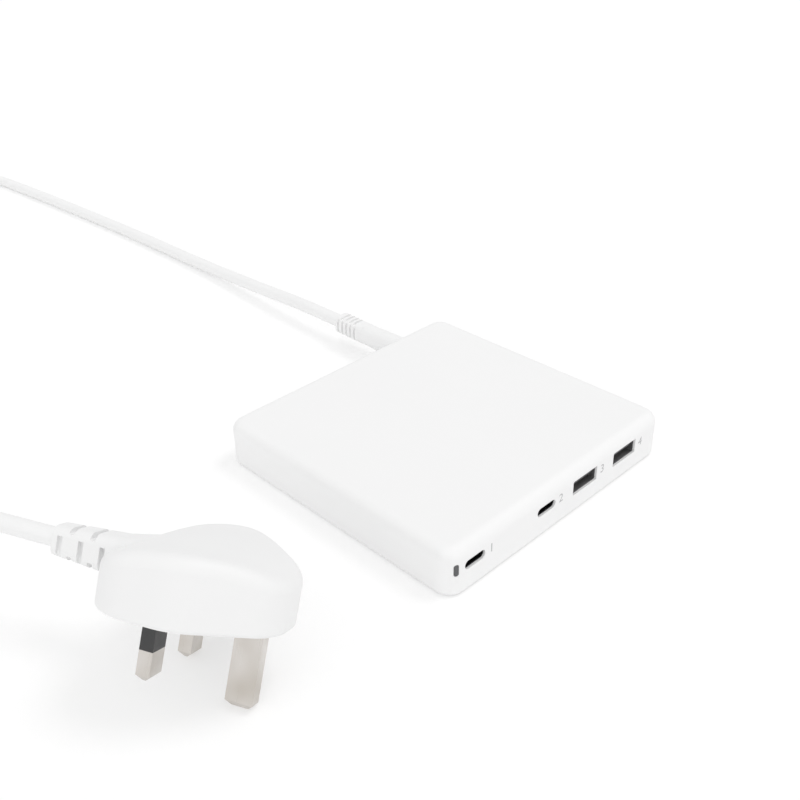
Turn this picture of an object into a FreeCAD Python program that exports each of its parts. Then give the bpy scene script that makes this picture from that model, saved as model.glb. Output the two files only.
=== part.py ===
"""Flat desktop USB charger with a captive mains lead and a moulded three-pin plug.

Millimetres, +Z up. The origin is the middle of the charger's footprint, on the surface that it stands on.
The ports face -Y, and the mains lead leaves the rear wall towards +Y.
"""
import FreeCAD, Part
import math
import os

import Sketcher
from FreeCAD import Placement, Rotation, Vector

# Driving dimensions
DIMENSIONS = {
    # case
    "body_width": 110.0,
    "body_depth": 108.0,
    "case_height": 16.4,
    "corner_radius": 6.0,
    "top_round": 4.0,
    "bottom_round": 0.8,
    "wall": 2.0,
    "base_thickness": 2.0,
    "base_fit": 0.15,
    # feet and case screws
    "stand": 0.6,
    "foot_radius": 5.0,
    "foot_recess": 0.6,
    "post_inset": 12.0,
    "front_post_setback": 34.0,
    "rear_post_setback": 12.0,
    "base_post_radius": 6.2,
    "cover_post_radius": 3.5,
    "screw_radius": 1.3,
    "screw_hole_radius": 1.6,
    "screw_head_radius": 2.4,
    "screw_head_height": 1.5,
    "screw_head_gap": 0.3,
    "screw_grip": 6.0,
    "pilot_depth": 6.6,
    # main board
    "board_lift": 5.0,
    "board_thickness": 1.6,
    "board_gap": 1.5,
    "window_width": 27.0,
    "window_depth": 23.0,
    "window_inset": 33.5,
    "window_setback": 18.0,
    "sheet_thickness": 0.4,
    "sheet_gap": 1.0,
    "sheet_margin": 4.0,
    # receptacles
    "usb_a_inset": 22.5,
    "usb_a_pitch": 22.2,
    "usb_a_width": 12.5,
    "usb_a_height": 5.12,
    "usb_a_length": 14.0,
    "usb_a_block": 4.6,
    "usb_a_tongue_width": 11.1,
    "usb_a_tongue_thickness": 1.84,
    "usb_a_tongue_rise": 0.9,
    "usb_a_tongue_setback": 0.8,
    "usb_a_contact_width": 1.0,
    "usb_a_contact_pitch": 2.3,
    "usb_a_contact_thickness": 0.25,
    "usb_a_contact_setback": 1.0,
    "usb_c_inset": 11.0,
    "usb_c_to_usb_a": 20.3,
    "usb_c_width": 8.34,
    "usb_c_height": 2.56,
    "usb_c_length": 8.0,
    "usb_c_block": 2.8,
    "usb_c_tongue_width": 6.7,
    "usb_c_tongue_thickness": 0.7,
    "usb_c_tongue_setback": 0.8,
    "usb_c_back_plate": 1.5,
    "usb_c_seat_setback": 1.6,
    "shell_thickness": 0.3,
    "shell_corner": 0.5,
    "window_clearance": 0.35,
    "port_lip": 0.8,
    "port_room": 0.15,
    # indicator
    "led_inset": 3.4,
    "led_width": 1.4,
    "led_height": 4.2,
    "led_clearance": 0.1,
    "led_setback": 1.0,
    "led_length": 7.5,
    "led_foot_gap": 0.5,
    "led_foot_depth": 2.6,
    "led_chip_width": 1.6,
    "led_chip_depth": 1.0,
    "led_chip_height": 0.8,
    # mains lead where it enters the case
    "lead_inset": 21.5,
    "lead_z": 9.0,
    "lead_diameter": 5.6,
    "boot_neck_radius": 3.8,
    "boot_flange_radius": 5.2,
    "boot_flange": 1.6,
    "boot_room": 0.4,
    "boot_shoulder_radius": 5.1,
    "boot_tip_radius": 4.3,
    "boot_smooth": 24.0,
    "boot_side": 8.2,
    "boot_corner": 3.0,
    "boot_slotted": 13.0,
    "boot_slot_pitch": 2.5,
    "boot_slot_width": 1.1,
    "boot_slot_count": 5,
    "relief_core": 6.2,
    "wire_radius": 1.2,
    "wire_pitch": 4.0,
    "terminal_width": 12.0,
    "terminal_depth": 9.0,
    "terminal_headroom": 1.8,
    "terminal_setback": 16.0,
    # power electronics on the board
    "spreader_thickness": 0.6,
    "spreader_width": 64.0,
    "spreader_depth": 46.0,
    "spreader_shift": 10.0,
    "core_width": 28.0,
    "core_depth": 20.0,
    "core_gap": 0.3,
    "core_leg": 8.0,
    "core_plate": 1.8,
    "winding_band": 6.0,
    "winding_clearance": 0.2,
    "bulk_headroom": 1.2,
    "bulk_length": 25.0,
    "bulk_pitch": 11.0,
    "choke_radius": 7.5,
    "choke_hole_radius": 3.0,
    "choke_headroom": 1.8,
    "choke_x": 11.0,
    "choke_setback": 30.0,
    "filter_width": 13.0,
    "filter_depth": 5.5,
    "filter_headroom": 1.3,
    "filter_x": 11.0,
    "filter_setback": 14.0,
    "bridge_width": 10.0,
    "bridge_depth": 8.0,
    "bridge_height": 2.6,
    "bridge_x": 30.0,
    "bridge_setback": 32.0,
    "fuse_link_radius": 1.9,
    "fuse_link_length": 10.0,
    "fuse_link_inset": 9.0,
    "fuse_link_setback": 32.0,
    "switch_width": 8.0,
    "switch_height": 1.1,
    "switch_x": -24.0,
    "switch_setback": 40.0,
    "fin_width": 16.0,
    "fin_thickness": 1.5,
    "fin_headroom": 1.4,
    "output_cap_radius": 3.15,
    "output_cap_headroom": 1.4,
    "output_row_setback": 23.0,
    "inductor_side": 10.0,
    "inductor_height": 4.6,
    "chip_side": 5.0,
    "chip_height": 0.9,
    "chip_row_setback": 34.0,
    # plug
    "pin_spacing": 22.23,
    "earth_offset": 22.23,
    "line_pin_width": 6.35,
    "pin_thickness": 4.0,
    "line_pin_length": 17.7,
    "earth_pin_width": 8.0,
    "earth_pin_length": 22.73,
    "pin_root": 6.0,
    "pin_chamfer": 1.5,
    "sleeve_length": 9.5,
    "sleeve_wall": 0.5,
    "plug_width": 48.0,
    "plug_earth_margin": 10.0,
    "plug_cord_margin": 16.5,
    "plug_corner": 13.0,
    "plug_shoulder_x": 10.0,
    "plug_shoulder_radius": 18.0,
    "plug_nose_width": 17.0,
    "plug_nose_radius": 12.5,
    "plug_crest_height": 19.3,
    "plug_crest_x": 9.0,
    "plug_crown_radius": 50.0,
    "plug_waist_height": 12.0,
    "plug_waist_radius": 14.0,
    "plug_rim_round": 4.0,
    "plug_edge_round": 1.2,
    "relief_height_above_face": 8.8,
    "neck_side": 14.6,
    "neck_bite": 9.0,
    "neck_reach": 2.2,
    "relief_root_side": 10.8,
    "relief_tip_side": 8.6,
    "relief_corner": 2.6,
    "relief_length": 22.0,
    "relief_first_slot": 5.6,
    "relief_slot_pitch": 6.9,
    "relief_slot_width": 1.7,
    "relief_slot_count": 3,
    "fuse_radius": 3.175,
    "fuse_length": 25.4,
    "carrier_wall": 1.3,
    "carrier_floor": 1.4,
    "carrier_fit": 0.15,
    "carrier_x": 3.0,
    # where the plug stands, and its roll about the line between its earth and neutral tips
    "plug_x": -122.0,
    "plug_y": -17.2,
    "plug_heading": -66.6,
    "plug_roll": 32.2,
    # coil of the spare lead, two turns wide and two turns high
    "coil_x": -96.0,
    "coil_y": 276.0,
    "coil_radius": 30.8,
    "tie_width": 4.0,
    "tie_thickness": 0.8,
    "tie_clearance": 0.15,
}

doc = FreeCAD.newDocument("charger")
sheet = doc.addObject("Spreadsheet::Sheet", "dims")
for row, (alias, number) in enumerate(DIMENSIONS.items(), start=1):
    sheet.set(f"A{row}", alias.replace("_", " "))
    sheet.set(f"B{row}", str(number))
    sheet.setAlias(f"B{row}", alias)
doc.recompute()


class Size:
    """A length that knows its value and the expression that ties it to the sheet."""

    def __init__(self, value, text):
        self.value = float(value)
        self.text = text

    def _join(self, sign, other, result, swapped=False):
        mine, theirs = self.text, as_size(other).text
        left, right = (theirs, mine) if swapped else (mine, theirs)
        return Size(result, f"({left} {sign} {right})")

    def __add__(self, other):
        return self._join("+", other, self.value + as_size(other).value)

    def __radd__(self, other):
        return self._join("+", other, as_size(other).value + self.value, swapped=True)

    def __sub__(self, other):
        return self._join("-", other, self.value - as_size(other).value)

    def __rsub__(self, other):
        return self._join("-", other, as_size(other).value - self.value, swapped=True)

    def __mul__(self, other):
        return self._join("*", other, self.value * as_size(other).value)

    def __rmul__(self, other):
        return self._join("*", other, as_size(other).value * self.value, swapped=True)

    def __truediv__(self, other):
        return self._join("/", other, self.value / as_size(other).value)

    def __neg__(self):
        return Size(-self.value, f"(0 - {self.text})")


class Sheet:
    """Reads the sheet's cells by name as sizes."""

    def __getattr__(self, alias):
        return Size(getattr(sheet, alias), f"dims.{alias}")


def as_size(value):
    """A number as a size, and a size as it is."""
    return value if isinstance(value, Size) else Size(value, repr(float(value)))


S = Sheet()
NODES = []


def node(obj, label):
    """Names a finished sub-part after the file that it is written to."""
    obj.Label = label
    NODES.append(obj)
    return obj


def bind(obj, name, size):
    """Ties a property of an object to a size."""
    obj.setExpression(name, as_size(size).text)


def put(obj, x=0, y=0, z=0):
    """Ties the place of an object to three sizes."""
    for axis, size in zip("xyz", (x, y, z)):
        bind(obj, f"Placement.Base.{axis}", size)
    return obj


# Sketches

def new_body(name):
    """An empty body."""
    return doc.addObject("PartDesign::Body", name)


def new_sketch(body, role, name, x=0, y=0, z=0):
    """A sketch on one of the body's own planes, moved by x and y in it and by z along its normal."""
    plane = next(feature for feature in body.Origin.OriginFeatures if feature.Role == role)
    sketch = body.newObject("Sketcher::SketchObject", name)
    sketch.AttachmentSupport = (plane, [""])
    sketch.MapMode = "FlatFace"
    for axis, size in zip("xyz", (x, y, z)):
        bind(sketch, f"AttachmentOffset.Base.{axis}", size)
    return sketch


def constrain(sketch, kind, *args):
    """Adds a constraint, tied to the last argument where that is a size."""
    *places, last = args
    if isinstance(last, Size):
        index = sketch.addConstraint(Sketcher.Constraint(kind, *places, last.value))
        sketch.setExpression(f"Constraints[{index}]", last.text)
    else:
        sketch.addConstraint(Sketcher.Constraint(kind, *args))


def pin_point(sketch, geometry, point, x, y):
    """Holds a point of the sketch at x, y."""
    for kind, size, axis in (("DistanceX", as_size(x), -2), ("DistanceY", as_size(y), -1)):
        if size.value == 0:
            constrain(sketch, "PointOnObject", geometry, point, axis)
        else:
            constrain(sketch, kind, -1, 1, geometry, point, size)


def rounded_rectangle(sketch, width, height, radius):
    """A rectangle with round corners, about the sketch's origin."""
    half_w, half_h, r = width.value / 2, height.value / 2, radius.value
    flat_x, flat_y = half_w - r, half_h - r
    first = sketch.GeometryCount
    corners = ((flat_x, -flat_y, -90), (flat_x, flat_y, 0), (-flat_x, flat_y, 90), (-flat_x, -flat_y, 180))
    sides = (
        ((-flat_x, -half_h), (flat_x, -half_h)),
        ((half_w, -flat_y), (half_w, flat_y)),
        ((flat_x, half_h), (-flat_x, half_h)),
        ((-half_w, flat_y), (-half_w, -flat_y)),
    )
    for (start, end), (x, y, turn) in zip(sides, corners):
        circle = Part.Circle(Vector(x, y, 0), Vector(0, 0, 1), r)
        sketch.addGeometry(Part.LineSegment(Vector(*start, 0), Vector(*end, 0)), False)
        sketch.addGeometry(Part.ArcOfCircle(circle, math.radians(turn), math.radians(turn + 90)), False)
    for step in range(8):
        constrain(sketch, "Tangent", first + step, 2, first + (step + 1) % 8, 1)
    for step, kind in ((0, "Horizontal"), (2, "Vertical"), (4, "Horizontal"), (6, "Vertical")):
        constrain(sketch, kind, first + step)
    for step in (3, 5, 7):
        constrain(sketch, "Equal", first + 1, first + step)
    constrain(sketch, "Radius", first + 1, radius)
    constrain(sketch, "DistanceX", first + 6, 1, first + 2, 1, width)
    constrain(sketch, "DistanceY", first, 1, first + 4, 1, height)
    constrain(sketch, "Symmetric", first, 1, first + 4, 1, -1, 1)


def circle(sketch, radius, x=0, y=0):
    """A circle at x, y."""
    middle = Vector(as_size(x).value, as_size(y).value, 0)
    geometry = sketch.addGeometry(Part.Circle(middle, Vector(0, 0, 1), radius.value), False)
    constrain(sketch, "Radius", geometry, radius)
    pin_point(sketch, geometry, 3, x, y)


def polygon(sketch, points):
    """A closed outline of straight lines through the points."""
    corners = [Vector(as_size(x).value, as_size(y).value, 0) for x, y in points]
    first = sketch.GeometryCount
    for start, end in zip(corners, corners[1:] + corners[:1]):
        sketch.addGeometry(Part.LineSegment(start, end), False)
    for step, (x, y) in enumerate(points):
        constrain(sketch, "Coincident", first + step, 2, first + (step + 1) % len(points), 1)
        pin_point(sketch, first + step, 1, x, y)


def rectangle(sketch, width, height):
    """A rectangle with sharp corners, about the sketch's origin."""
    x, y = width / 2, height / 2
    polygon(sketch, ((-x, -y), (x, -y), (x, y), (-x, y)))


# Features

def pad(body, sketch, length, name, reverse=False):
    """Adds a sketch's outline, grown along its normal or against it."""
    feature = body.newObject("PartDesign::Pad", name)
    feature.Profile = sketch
    feature.Reversed = reverse
    bind(feature, "Length", length)
    doc.recompute()
    return feature


def pocket(body, sketch, length, name, reverse=False):
    """Cuts a sketch's outline against its normal, or along it."""
    before = body.Shape.Volume
    feature = body.newObject("PartDesign::Pocket", name)
    feature.Profile = sketch
    feature.Reversed = reverse
    bind(feature, "Length", length)
    doc.recompute()
    if body.Shape.Volume > before - 1e-6:
        raise RuntimeError(f"{name} cuts nothing")
    return feature


def revolve(body, sketch, name):
    """Turns a sketch once about its upright axis."""
    feature = body.newObject("PartDesign::Revolution", name)
    feature.Profile = sketch
    feature.ReferenceAxis = (sketch, ["V_Axis"])
    feature.Angle = 360
    doc.recompute()
    return feature


def edges_where(shape, test):
    """The names of a shape's edges that pass a test."""
    return [f"Edge{index}" for index, edge in enumerate(shape.Edges, start=1) if test(edge)]


def dress(body, kind, size, name, test):
    """Rounds or chamfers the body's edges that pass a test."""
    base = body.Tip
    feature = body.newObject(f"PartDesign::{kind}", name)
    feature.Base = (base, edges_where(base.Shape, test))
    bind(feature, "Radius" if kind == "Fillet" else "Size", size)
    doc.recompute()
    return feature


def at_height(height, tolerance=1e-4):
    """A test for edges that lie level at a height."""
    level = as_size(height).value
    return lambda edge: max(abs(edge.BoundBox.ZMin - level), abs(edge.BoundBox.ZMax - level)) < tolerance


def box(name, width, depth, height, x, y, z):
    """A box standing on z, with its middle at x, y."""
    obj = doc.addObject("Part::Box", name)
    for prop, size in (("Length", width), ("Width", depth), ("Height", height)):
        bind(obj, prop, size)
    return put(obj, x - width / 2, y - depth / 2, z)


def cylinder(name, radius, height, x, y, z, along="Z"):
    """A cylinder that starts at x, y, z and grows along an axis."""
    obj = doc.addObject("Part::Cylinder", name)
    turns = {"X": Rotation(Vector(0, 1, 0), 90), "Y": Rotation(Vector(1, 0, 0), -90), "Z": Rotation()}
    obj.Placement = Placement(Vector(), turns[along])
    bind(obj, "Radius", radius)
    bind(obj, "Height", height)
    return put(obj, x, y, z)


def cut(name, base, tool):
    """One object less another."""
    obj = doc.addObject("Part::Cut", name)
    obj.Base = base
    obj.Tool = tool
    return obj


def group(name, pieces):
    """Separate solids that share one file."""
    obj = doc.addObject("Part::Compound", name)
    obj.Links = pieces
    return obj


def slab(name, width, depth, radius, bottom, height, x=0, y=0):
    """A body of one level plate with round corners."""
    body = new_body(name)
    outline = new_sketch(body, "XY_Plane", f"{name}_outline", x, y, bottom)
    rounded_rectangle(outline, width, depth, radius)
    pad(body, outline, height, f"{name}_plate")
    return body


# Levels and faces that several pieces share
top = S.stand + S.case_height
roof = top - S.wall
base_top = S.stand + S.base_thickness
board_bottom = S.stand + S.board_lift
board_top = board_bottom + S.board_thickness
front = S.body_depth / 2
mouth = front - S.port_lip
usb_a_outer_height = S.usb_a_height + 2 * S.shell_thickness
port_z = board_top + usb_a_outer_height / 2
right = S.body_width / 2
spreader_bottom = roof - S.spreader_thickness
usb_a_right_x = right - S.usb_a_inset
usb_a_left_x = usb_a_right_x - S.usb_a_pitch
usb_c_right_x = usb_a_left_x - S.usb_c_to_usb_a
usb_c_left_x = S.usb_c_inset - right
led_x = S.led_inset - right
lead_x = right - S.lead_inset
post_x = right - S.post_inset
post_rows = (S.front_post_setback - front, front - S.rear_post_setback)
POSTS = [(side * post_x, y) for y in post_rows for side in (-1, 1)]
PORTS_A = (("left", usb_a_left_x), ("right", usb_a_right_x))
PORTS_C = (("left", usb_c_left_x), ("right", usb_c_right_x))
window_x = S.window_inset - right
window_y = front - S.window_setback
choke_y = front - S.choke_setback


def post_circles(body, name, radius, z):
    """A sketch of one circle at each of the four posts."""
    sketch = new_sketch(body, "XY_Plane", name, z=z)
    for x, y in POSTS:
        circle(sketch, radius, x, y)
    return sketch


# Case

def front_window(body, name, x, width, height, radius, depth):
    """Cuts a port's window in the front wall."""
    outline = new_sketch(body, "XZ_Plane", f"{name}_outline", x, port_z, front)
    rounded_rectangle(outline, width, height, radius)
    pocket(body, outline, depth, name)


def port_seat(body, name, x, width, height, radius):
    """Thins the front wall from inside, so that a port's shell reaches close to the outer face."""
    room = 2 * S.port_room
    outline = new_sketch(body, "XZ_Plane", f"{name}_outline", x, port_z, mouth)
    rounded_rectangle(outline, width + room, height + room, radius + S.port_room)
    pocket(body, outline, S.wall - S.port_lip + S.port_room, name)


def make_top_cover():
    """The moulded cover: roof, four walls, port windows and the posts that take the screws."""
    body = slab("top_cover", S.body_width, S.body_depth, S.corner_radius, S.stand, S.case_height)
    dress(body, "Fillet", S.top_round, "cover_top_round", at_height(top))
    cavity = new_sketch(body, "XY_Plane", "cover_cavity_outline", z=S.stand)
    inset = 2 * S.wall
    rounded_rectangle(cavity, S.body_width - inset, S.body_depth - inset, S.corner_radius - S.wall)
    pocket(body, cavity, roof - S.stand, "cover_cavity", reverse=True)
    half_width, half_depth = S.body_width.value / 2, S.body_depth.value / 2
    inner = S.wall.value / 2

    def outer_rim(edge):
        middle = edge.valueAt((edge.FirstParameter + edge.LastParameter) / 2)
        near = half_width - abs(middle.x) < inner or half_depth - abs(middle.y) < inner
        curve = edge.Curve
        corner = curve.TypeId == "Part::GeomCircle" and abs(curve.Radius - S.corner_radius.value) < 1e-3
        return at_height(S.stand)(edge) and (near or corner)

    dress(body, "Fillet", S.bottom_round, "cover_bottom_round", outer_rim)
    reach = S.wall + S.window_clearance
    for side, x in PORTS_A:
        width = S.usb_a_width + S.window_clearance
        height = S.usb_a_height + S.window_clearance
        front_window(body, f"usb_a_window_{side}", x, width, height, S.shell_corner, reach)
        outer, corner = S.usb_a_width + 2 * S.shell_thickness, S.shell_corner + S.shell_thickness
        port_seat(body, f"usb_a_seat_{side}", x, outer, usb_a_outer_height, corner)
    for side, x in PORTS_C:
        width = S.usb_c_width + 2 * S.window_clearance
        height = S.usb_c_height + 2 * S.window_clearance
        front_window(body, f"usb_c_window_{side}", x, width, height, height * 0.49, reach)
        outer, outer_height = S.usb_c_width + 2 * S.shell_thickness, S.usb_c_height + 2 * S.shell_thickness
        port_seat(body, f"usb_c_room_{side}", x, outer, outer_height, outer_height * 0.49)
    width = S.led_width + 2 * S.led_clearance
    height = S.led_height + 2 * S.led_clearance
    front_window(body, "led_window", led_x, width, height, width * 0.49, S.corner_radius)
    lead_hole = new_sketch(body, "XZ_Plane", "lead_hole_outline", lead_x, S.lead_z, -front)
    circle(lead_hole, S.boot_neck_radius)
    pocket(body, lead_hole, S.wall + S.base_fit, "lead_hole", reverse=True)
    posts = post_circles(body, "cover_posts_outline", S.cover_post_radius, board_top)
    pad(body, posts, roof - board_top + S.wall / 2, "cover_posts")
    pilots = post_circles(body, "cover_pilots_outline", S.screw_radius, board_top)
    pocket(body, pilots, S.pilot_depth, "cover_pilots", reverse=True)
    node(body, "top_cover")


def make_base_cover():
    """The bottom plate inside the cover's rim, with a post under each corner of the board."""
    inset = 2 * (S.wall + S.base_fit)
    radius = S.corner_radius - S.wall - S.base_fit
    body = slab("base_cover", S.body_width - inset, S.body_depth - inset, radius, S.stand, S.base_thickness)
    posts = post_circles(body, "base_posts_outline", S.base_post_radius, S.stand)
    pad(body, posts, S.board_lift, "base_posts")
    recesses = post_circles(body, "foot_recess_outline", S.foot_radius, S.stand)
    pocket(body, recesses, S.foot_recess, "foot_recess", reverse=True)
    heads = post_circles(body, "head_recess_outline", S.screw_head_radius + S.screw_head_gap, S.stand)
    pocket(body, heads, S.foot_recess + S.screw_head_gap + S.screw_head_height, "head_recess", reverse=True)
    holes = post_circles(body, "screw_holes_outline", S.screw_hole_radius, S.stand)
    pocket(body, holes, S.board_lift, "screw_holes", reverse=True)
    node(body, "base_cover")


def make_feet_and_screws():
    """A rubber foot under each post, hiding the screw that clamps cover, board and base together."""
    names = ("front_left", "front_right", "rear_left", "rear_right")
    seat = S.stand + S.foot_recess + S.screw_head_gap + S.screw_head_height
    shank_length = board_top + S.screw_grip - seat
    screws = []
    for name, (x, y) in zip(names, POSTS):
        node(cylinder(f"foot_{name}", S.foot_radius, S.stand + S.foot_recess, x, y, 0), f"rubber_foot_{name}")
        body = new_body(f"screw_{name}")
        profile = new_sketch(body, "XZ_Plane", f"screw_{name}_profile")
        polygon(profile, (
            (0, -S.screw_head_height),
            (S.screw_head_radius, -S.screw_head_height),
            (S.screw_head_radius, 0),
            (S.screw_radius, 0),
            (S.screw_radius, shank_length),
            (0, shank_length),
        ))
        revolve(body, profile, f"screw_{name}_turned")
        screws.append(put(body, x, y, seat))
    node(group("screws", screws), "case_screws")


# Board and receptacles

def make_board():
    """The main board, clamped at the posts, with a window that the bulk capacitors lie in."""
    inset = 2 * (S.wall + S.board_gap)
    radius = S.corner_radius - S.wall - S.board_gap
    width, depth = S.body_width - inset, S.body_depth - inset
    body = slab("main_board", width, depth, radius, board_bottom, S.board_thickness)
    holes = post_circles(body, "board_holes_outline", S.screw_hole_radius, board_top)
    pocket(body, holes, S.board_thickness, "board_holes")
    opening = new_sketch(body, "XY_Plane", "board_window_outline", window_x, window_y, board_top)
    rounded_rectangle(opening, S.window_width, S.window_depth, S.board_thickness / 2)
    pocket(body, opening, S.board_thickness, "board_window")
    notch = new_sketch(body, "XY_Plane", "lead_notch_outline", lead_x, front, board_top)
    flange_room = S.boot_flange + S.boot_room
    rectangle(notch, 2 * (S.boot_flange_radius + S.boot_room), 2 * (S.wall + flange_room))
    pocket(body, notch, S.board_thickness, "lead_notch")
    node(body, "main_board")
    width = 2 * (post_x - S.base_post_radius - S.sheet_gap)
    depth = S.body_depth - 2 * (S.wall + S.sheet_margin)
    node(slab("sheet", width, depth, S.sheet_margin / 2, base_top, S.sheet_thickness), "insulation_sheet")


def port_sketch(body, name, x, y, z):
    """A sketch across the port axis, at a distance y behind the front edge of the shells."""
    return new_sketch(body, "XZ_Plane", name, x, z, mouth - y)


def make_usb_a(side, x):
    """A receptacle with one flat tongue: metal shell, insulator and four spring contacts."""
    shell = new_body(f"usb_a_shell_{side}")
    outline = port_sketch(shell, f"usb_a_shell_{side}_outline", x, 0, port_z)
    outer_width = S.usb_a_width + 2 * S.shell_thickness
    rounded_rectangle(outline, outer_width, usb_a_outer_height, S.shell_corner + S.shell_thickness)
    rounded_rectangle(outline, S.usb_a_width, S.usb_a_height, S.shell_corner)
    pad(shell, outline, S.usb_a_length, f"usb_a_shell_{side}_tube", reverse=True)
    node(shell, f"usb_a_shell_{side}")

    insulator = new_body(f"usb_a_insulator_{side}")
    start = S.usb_a_length - S.usb_a_block
    block = port_sketch(insulator, f"usb_a_block_{side}_outline", x, start, port_z)
    rounded_rectangle(block, S.usb_a_width, S.usb_a_height, S.shell_corner)
    pad(insulator, block, S.usb_a_block, f"usb_a_block_{side}", reverse=True)
    tongue_z = port_z + S.usb_a_tongue_rise
    tongue = port_sketch(insulator, f"usb_a_tongue_{side}_outline", x, S.usb_a_tongue_setback, tongue_z)
    rounded_rectangle(tongue, S.usb_a_tongue_width, S.usb_a_tongue_thickness, S.shell_thickness)
    pad(insulator, tongue, start - S.usb_a_tongue_setback, f"usb_a_tongue_{side}", reverse=True)
    node(insulator, f"usb_a_insulator_{side}")

    contact_z = tongue_z - S.usb_a_tongue_thickness / 2 - S.usb_a_contact_thickness
    contact_front = S.usb_a_tongue_setback + S.usb_a_contact_setback
    contact_length = start - contact_front
    contacts = [
        box(
            f"usb_a_contact_{side}_{index}",
            S.usb_a_contact_width,
            contact_length,
            S.usb_a_contact_thickness,
            x + (index - 1.5) * S.usb_a_contact_pitch,
            contact_front + contact_length / 2 - mouth,
            contact_z,
        )
        for index in range(4)
    ]
    node(group(f"usb_a_contacts_{side}_group", contacts), f"usb_a_contacts_{side}")


def make_usb_c(side, x):
    """An oval receptacle raised on a seat: metal shell, and an insulator with its thin tongue."""
    shell = new_body(f"usb_c_shell_{side}")
    outer_height = S.usb_c_height + 2 * S.shell_thickness
    outline = port_sketch(shell, f"usb_c_shell_{side}_outline", x, 0, port_z)
    rounded_rectangle(outline, S.usb_c_width + 2 * S.shell_thickness, outer_height, outer_height * 0.49)
    rounded_rectangle(outline, S.usb_c_width, S.usb_c_height, S.usb_c_height * 0.49)
    pad(shell, outline, S.usb_c_length, f"usb_c_shell_{side}_tube", reverse=True)
    node(shell, f"usb_c_shell_{side}")

    insulator = new_body(f"usb_c_insulator_{side}")
    start = S.usb_c_length - S.usb_c_block
    seat_height = port_z - outer_height / 2 - board_top
    plate_height = seat_height + outer_height
    plate_z = board_top + plate_height / 2
    plate = port_sketch(insulator, f"usb_c_plate_{side}_outline", x, S.usb_c_length, plate_z)
    rounded_rectangle(plate, S.usb_c_width, plate_height, S.shell_thickness)
    pad(insulator, plate, S.usb_c_back_plate, f"usb_c_plate_{side}", reverse=True)
    seat_z = board_top + seat_height / 2
    seat = port_sketch(insulator, f"usb_c_seat_{side}_outline", x, S.usb_c_seat_setback, seat_z)
    rounded_rectangle(seat, S.usb_c_tongue_width, seat_height, S.shell_thickness)
    pad(insulator, seat, S.usb_c_length - S.usb_c_seat_setback, f"usb_c_seat_{side}", reverse=True)
    block = port_sketch(insulator, f"usb_c_block_{side}_outline", x, start, port_z)
    rounded_rectangle(block, S.usb_c_width, S.usb_c_height, S.usb_c_height * 0.49)
    pad(insulator, block, S.usb_c_block, f"usb_c_block_{side}", reverse=True)
    tongue = port_sketch(insulator, f"usb_c_tongue_{side}_outline", x, S.usb_c_tongue_setback, port_z)
    rounded_rectangle(tongue, S.usb_c_tongue_width, S.usb_c_tongue_thickness, S.usb_c_tongue_thickness * 0.4)
    pad(insulator, tongue, start - S.usb_c_tongue_setback, f"usb_c_tongue_{side}", reverse=True)
    node(insulator, f"usb_c_insulator_{side}")


def make_indicator():
    """A clear guide that carries the light of a chip on the board to a slot in the front corner."""
    guide = new_body("led_light_guide")
    outline = port_sketch(guide, "led_guide_outline", led_x, S.led_setback - S.port_lip, port_z)
    rounded_rectangle(outline, S.led_width, S.led_height, S.led_width * 0.49)
    pad(guide, outline, S.led_length, "led_guide", reverse=True)
    rear = S.led_setback - S.port_lip + S.led_length
    left = led_x - S.led_width / 2
    foot_width = usb_c_left_x - S.usb_c_width / 2 - S.shell_thickness - S.led_foot_gap - left
    foot_x = left + foot_width / 2
    foot_height = port_z - board_top
    foot_z = board_top + foot_height / 2
    foot = port_sketch(guide, "led_foot_outline", foot_x, rear - S.led_foot_depth, foot_z)
    rounded_rectangle(foot, foot_width, foot_height, S.led_width / 4)
    pad(guide, foot, S.led_foot_depth, "led_foot", reverse=True)
    node(guide, "led_light_guide")
    chip_x = left + foot_width - S.led_chip_width / 2
    chip_y = rear + S.led_chip_depth / 2 - mouth
    chip = box("chip", S.led_chip_width, S.led_chip_depth, S.led_chip_height, chip_x, chip_y, board_top)
    node(chip, "led_chip")


# Power electronics

def make_transformer():
    """A flat transformer: a winding round the middle leg of a ferrite core that touches the heat spreader."""
    winding_reach = S.core_depth / 2 + S.winding_clearance + S.winding_band
    core_y = choke_y - S.choke_radius - S.core_gap - winding_reach
    spreader_size = (S.spreader_width, S.spreader_depth, S.spreader_thickness)
    spreader = box("spreader", *spreader_size, as_size(0), core_y - S.spreader_shift, spreader_bottom)
    node(spreader, "heat_spreader")
    height = spreader_bottom - board_top
    block = box("core_block", S.core_width, S.core_depth, height, as_size(0), core_y, board_top)

    def ring(name, grow):
        body = new_body(name)
        bottom = board_top + S.core_plate - grow
        outline = new_sketch(body, "XY_Plane", f"{name}_outline", 0, core_y, bottom)
        hole_width = S.core_leg + 2 * (S.winding_clearance - grow)
        hole_depth = S.core_depth + 2 * (S.winding_clearance - grow)
        band = 2 * (S.winding_band + 2 * grow)
        rounded_rectangle(outline, hole_width + band, hole_depth + band, S.winding_band / 2)
        rounded_rectangle(outline, hole_width, hole_depth, S.winding_band / 6)
        pad(body, outline, height - 2 * S.core_plate + 2 * grow, f"{name}_turns")
        return body

    node(ring("winding", as_size(0)), "transformer_winding")
    node(cut("core_cut", block, ring("winding_room", S.winding_clearance)), "transformer_core")


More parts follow.
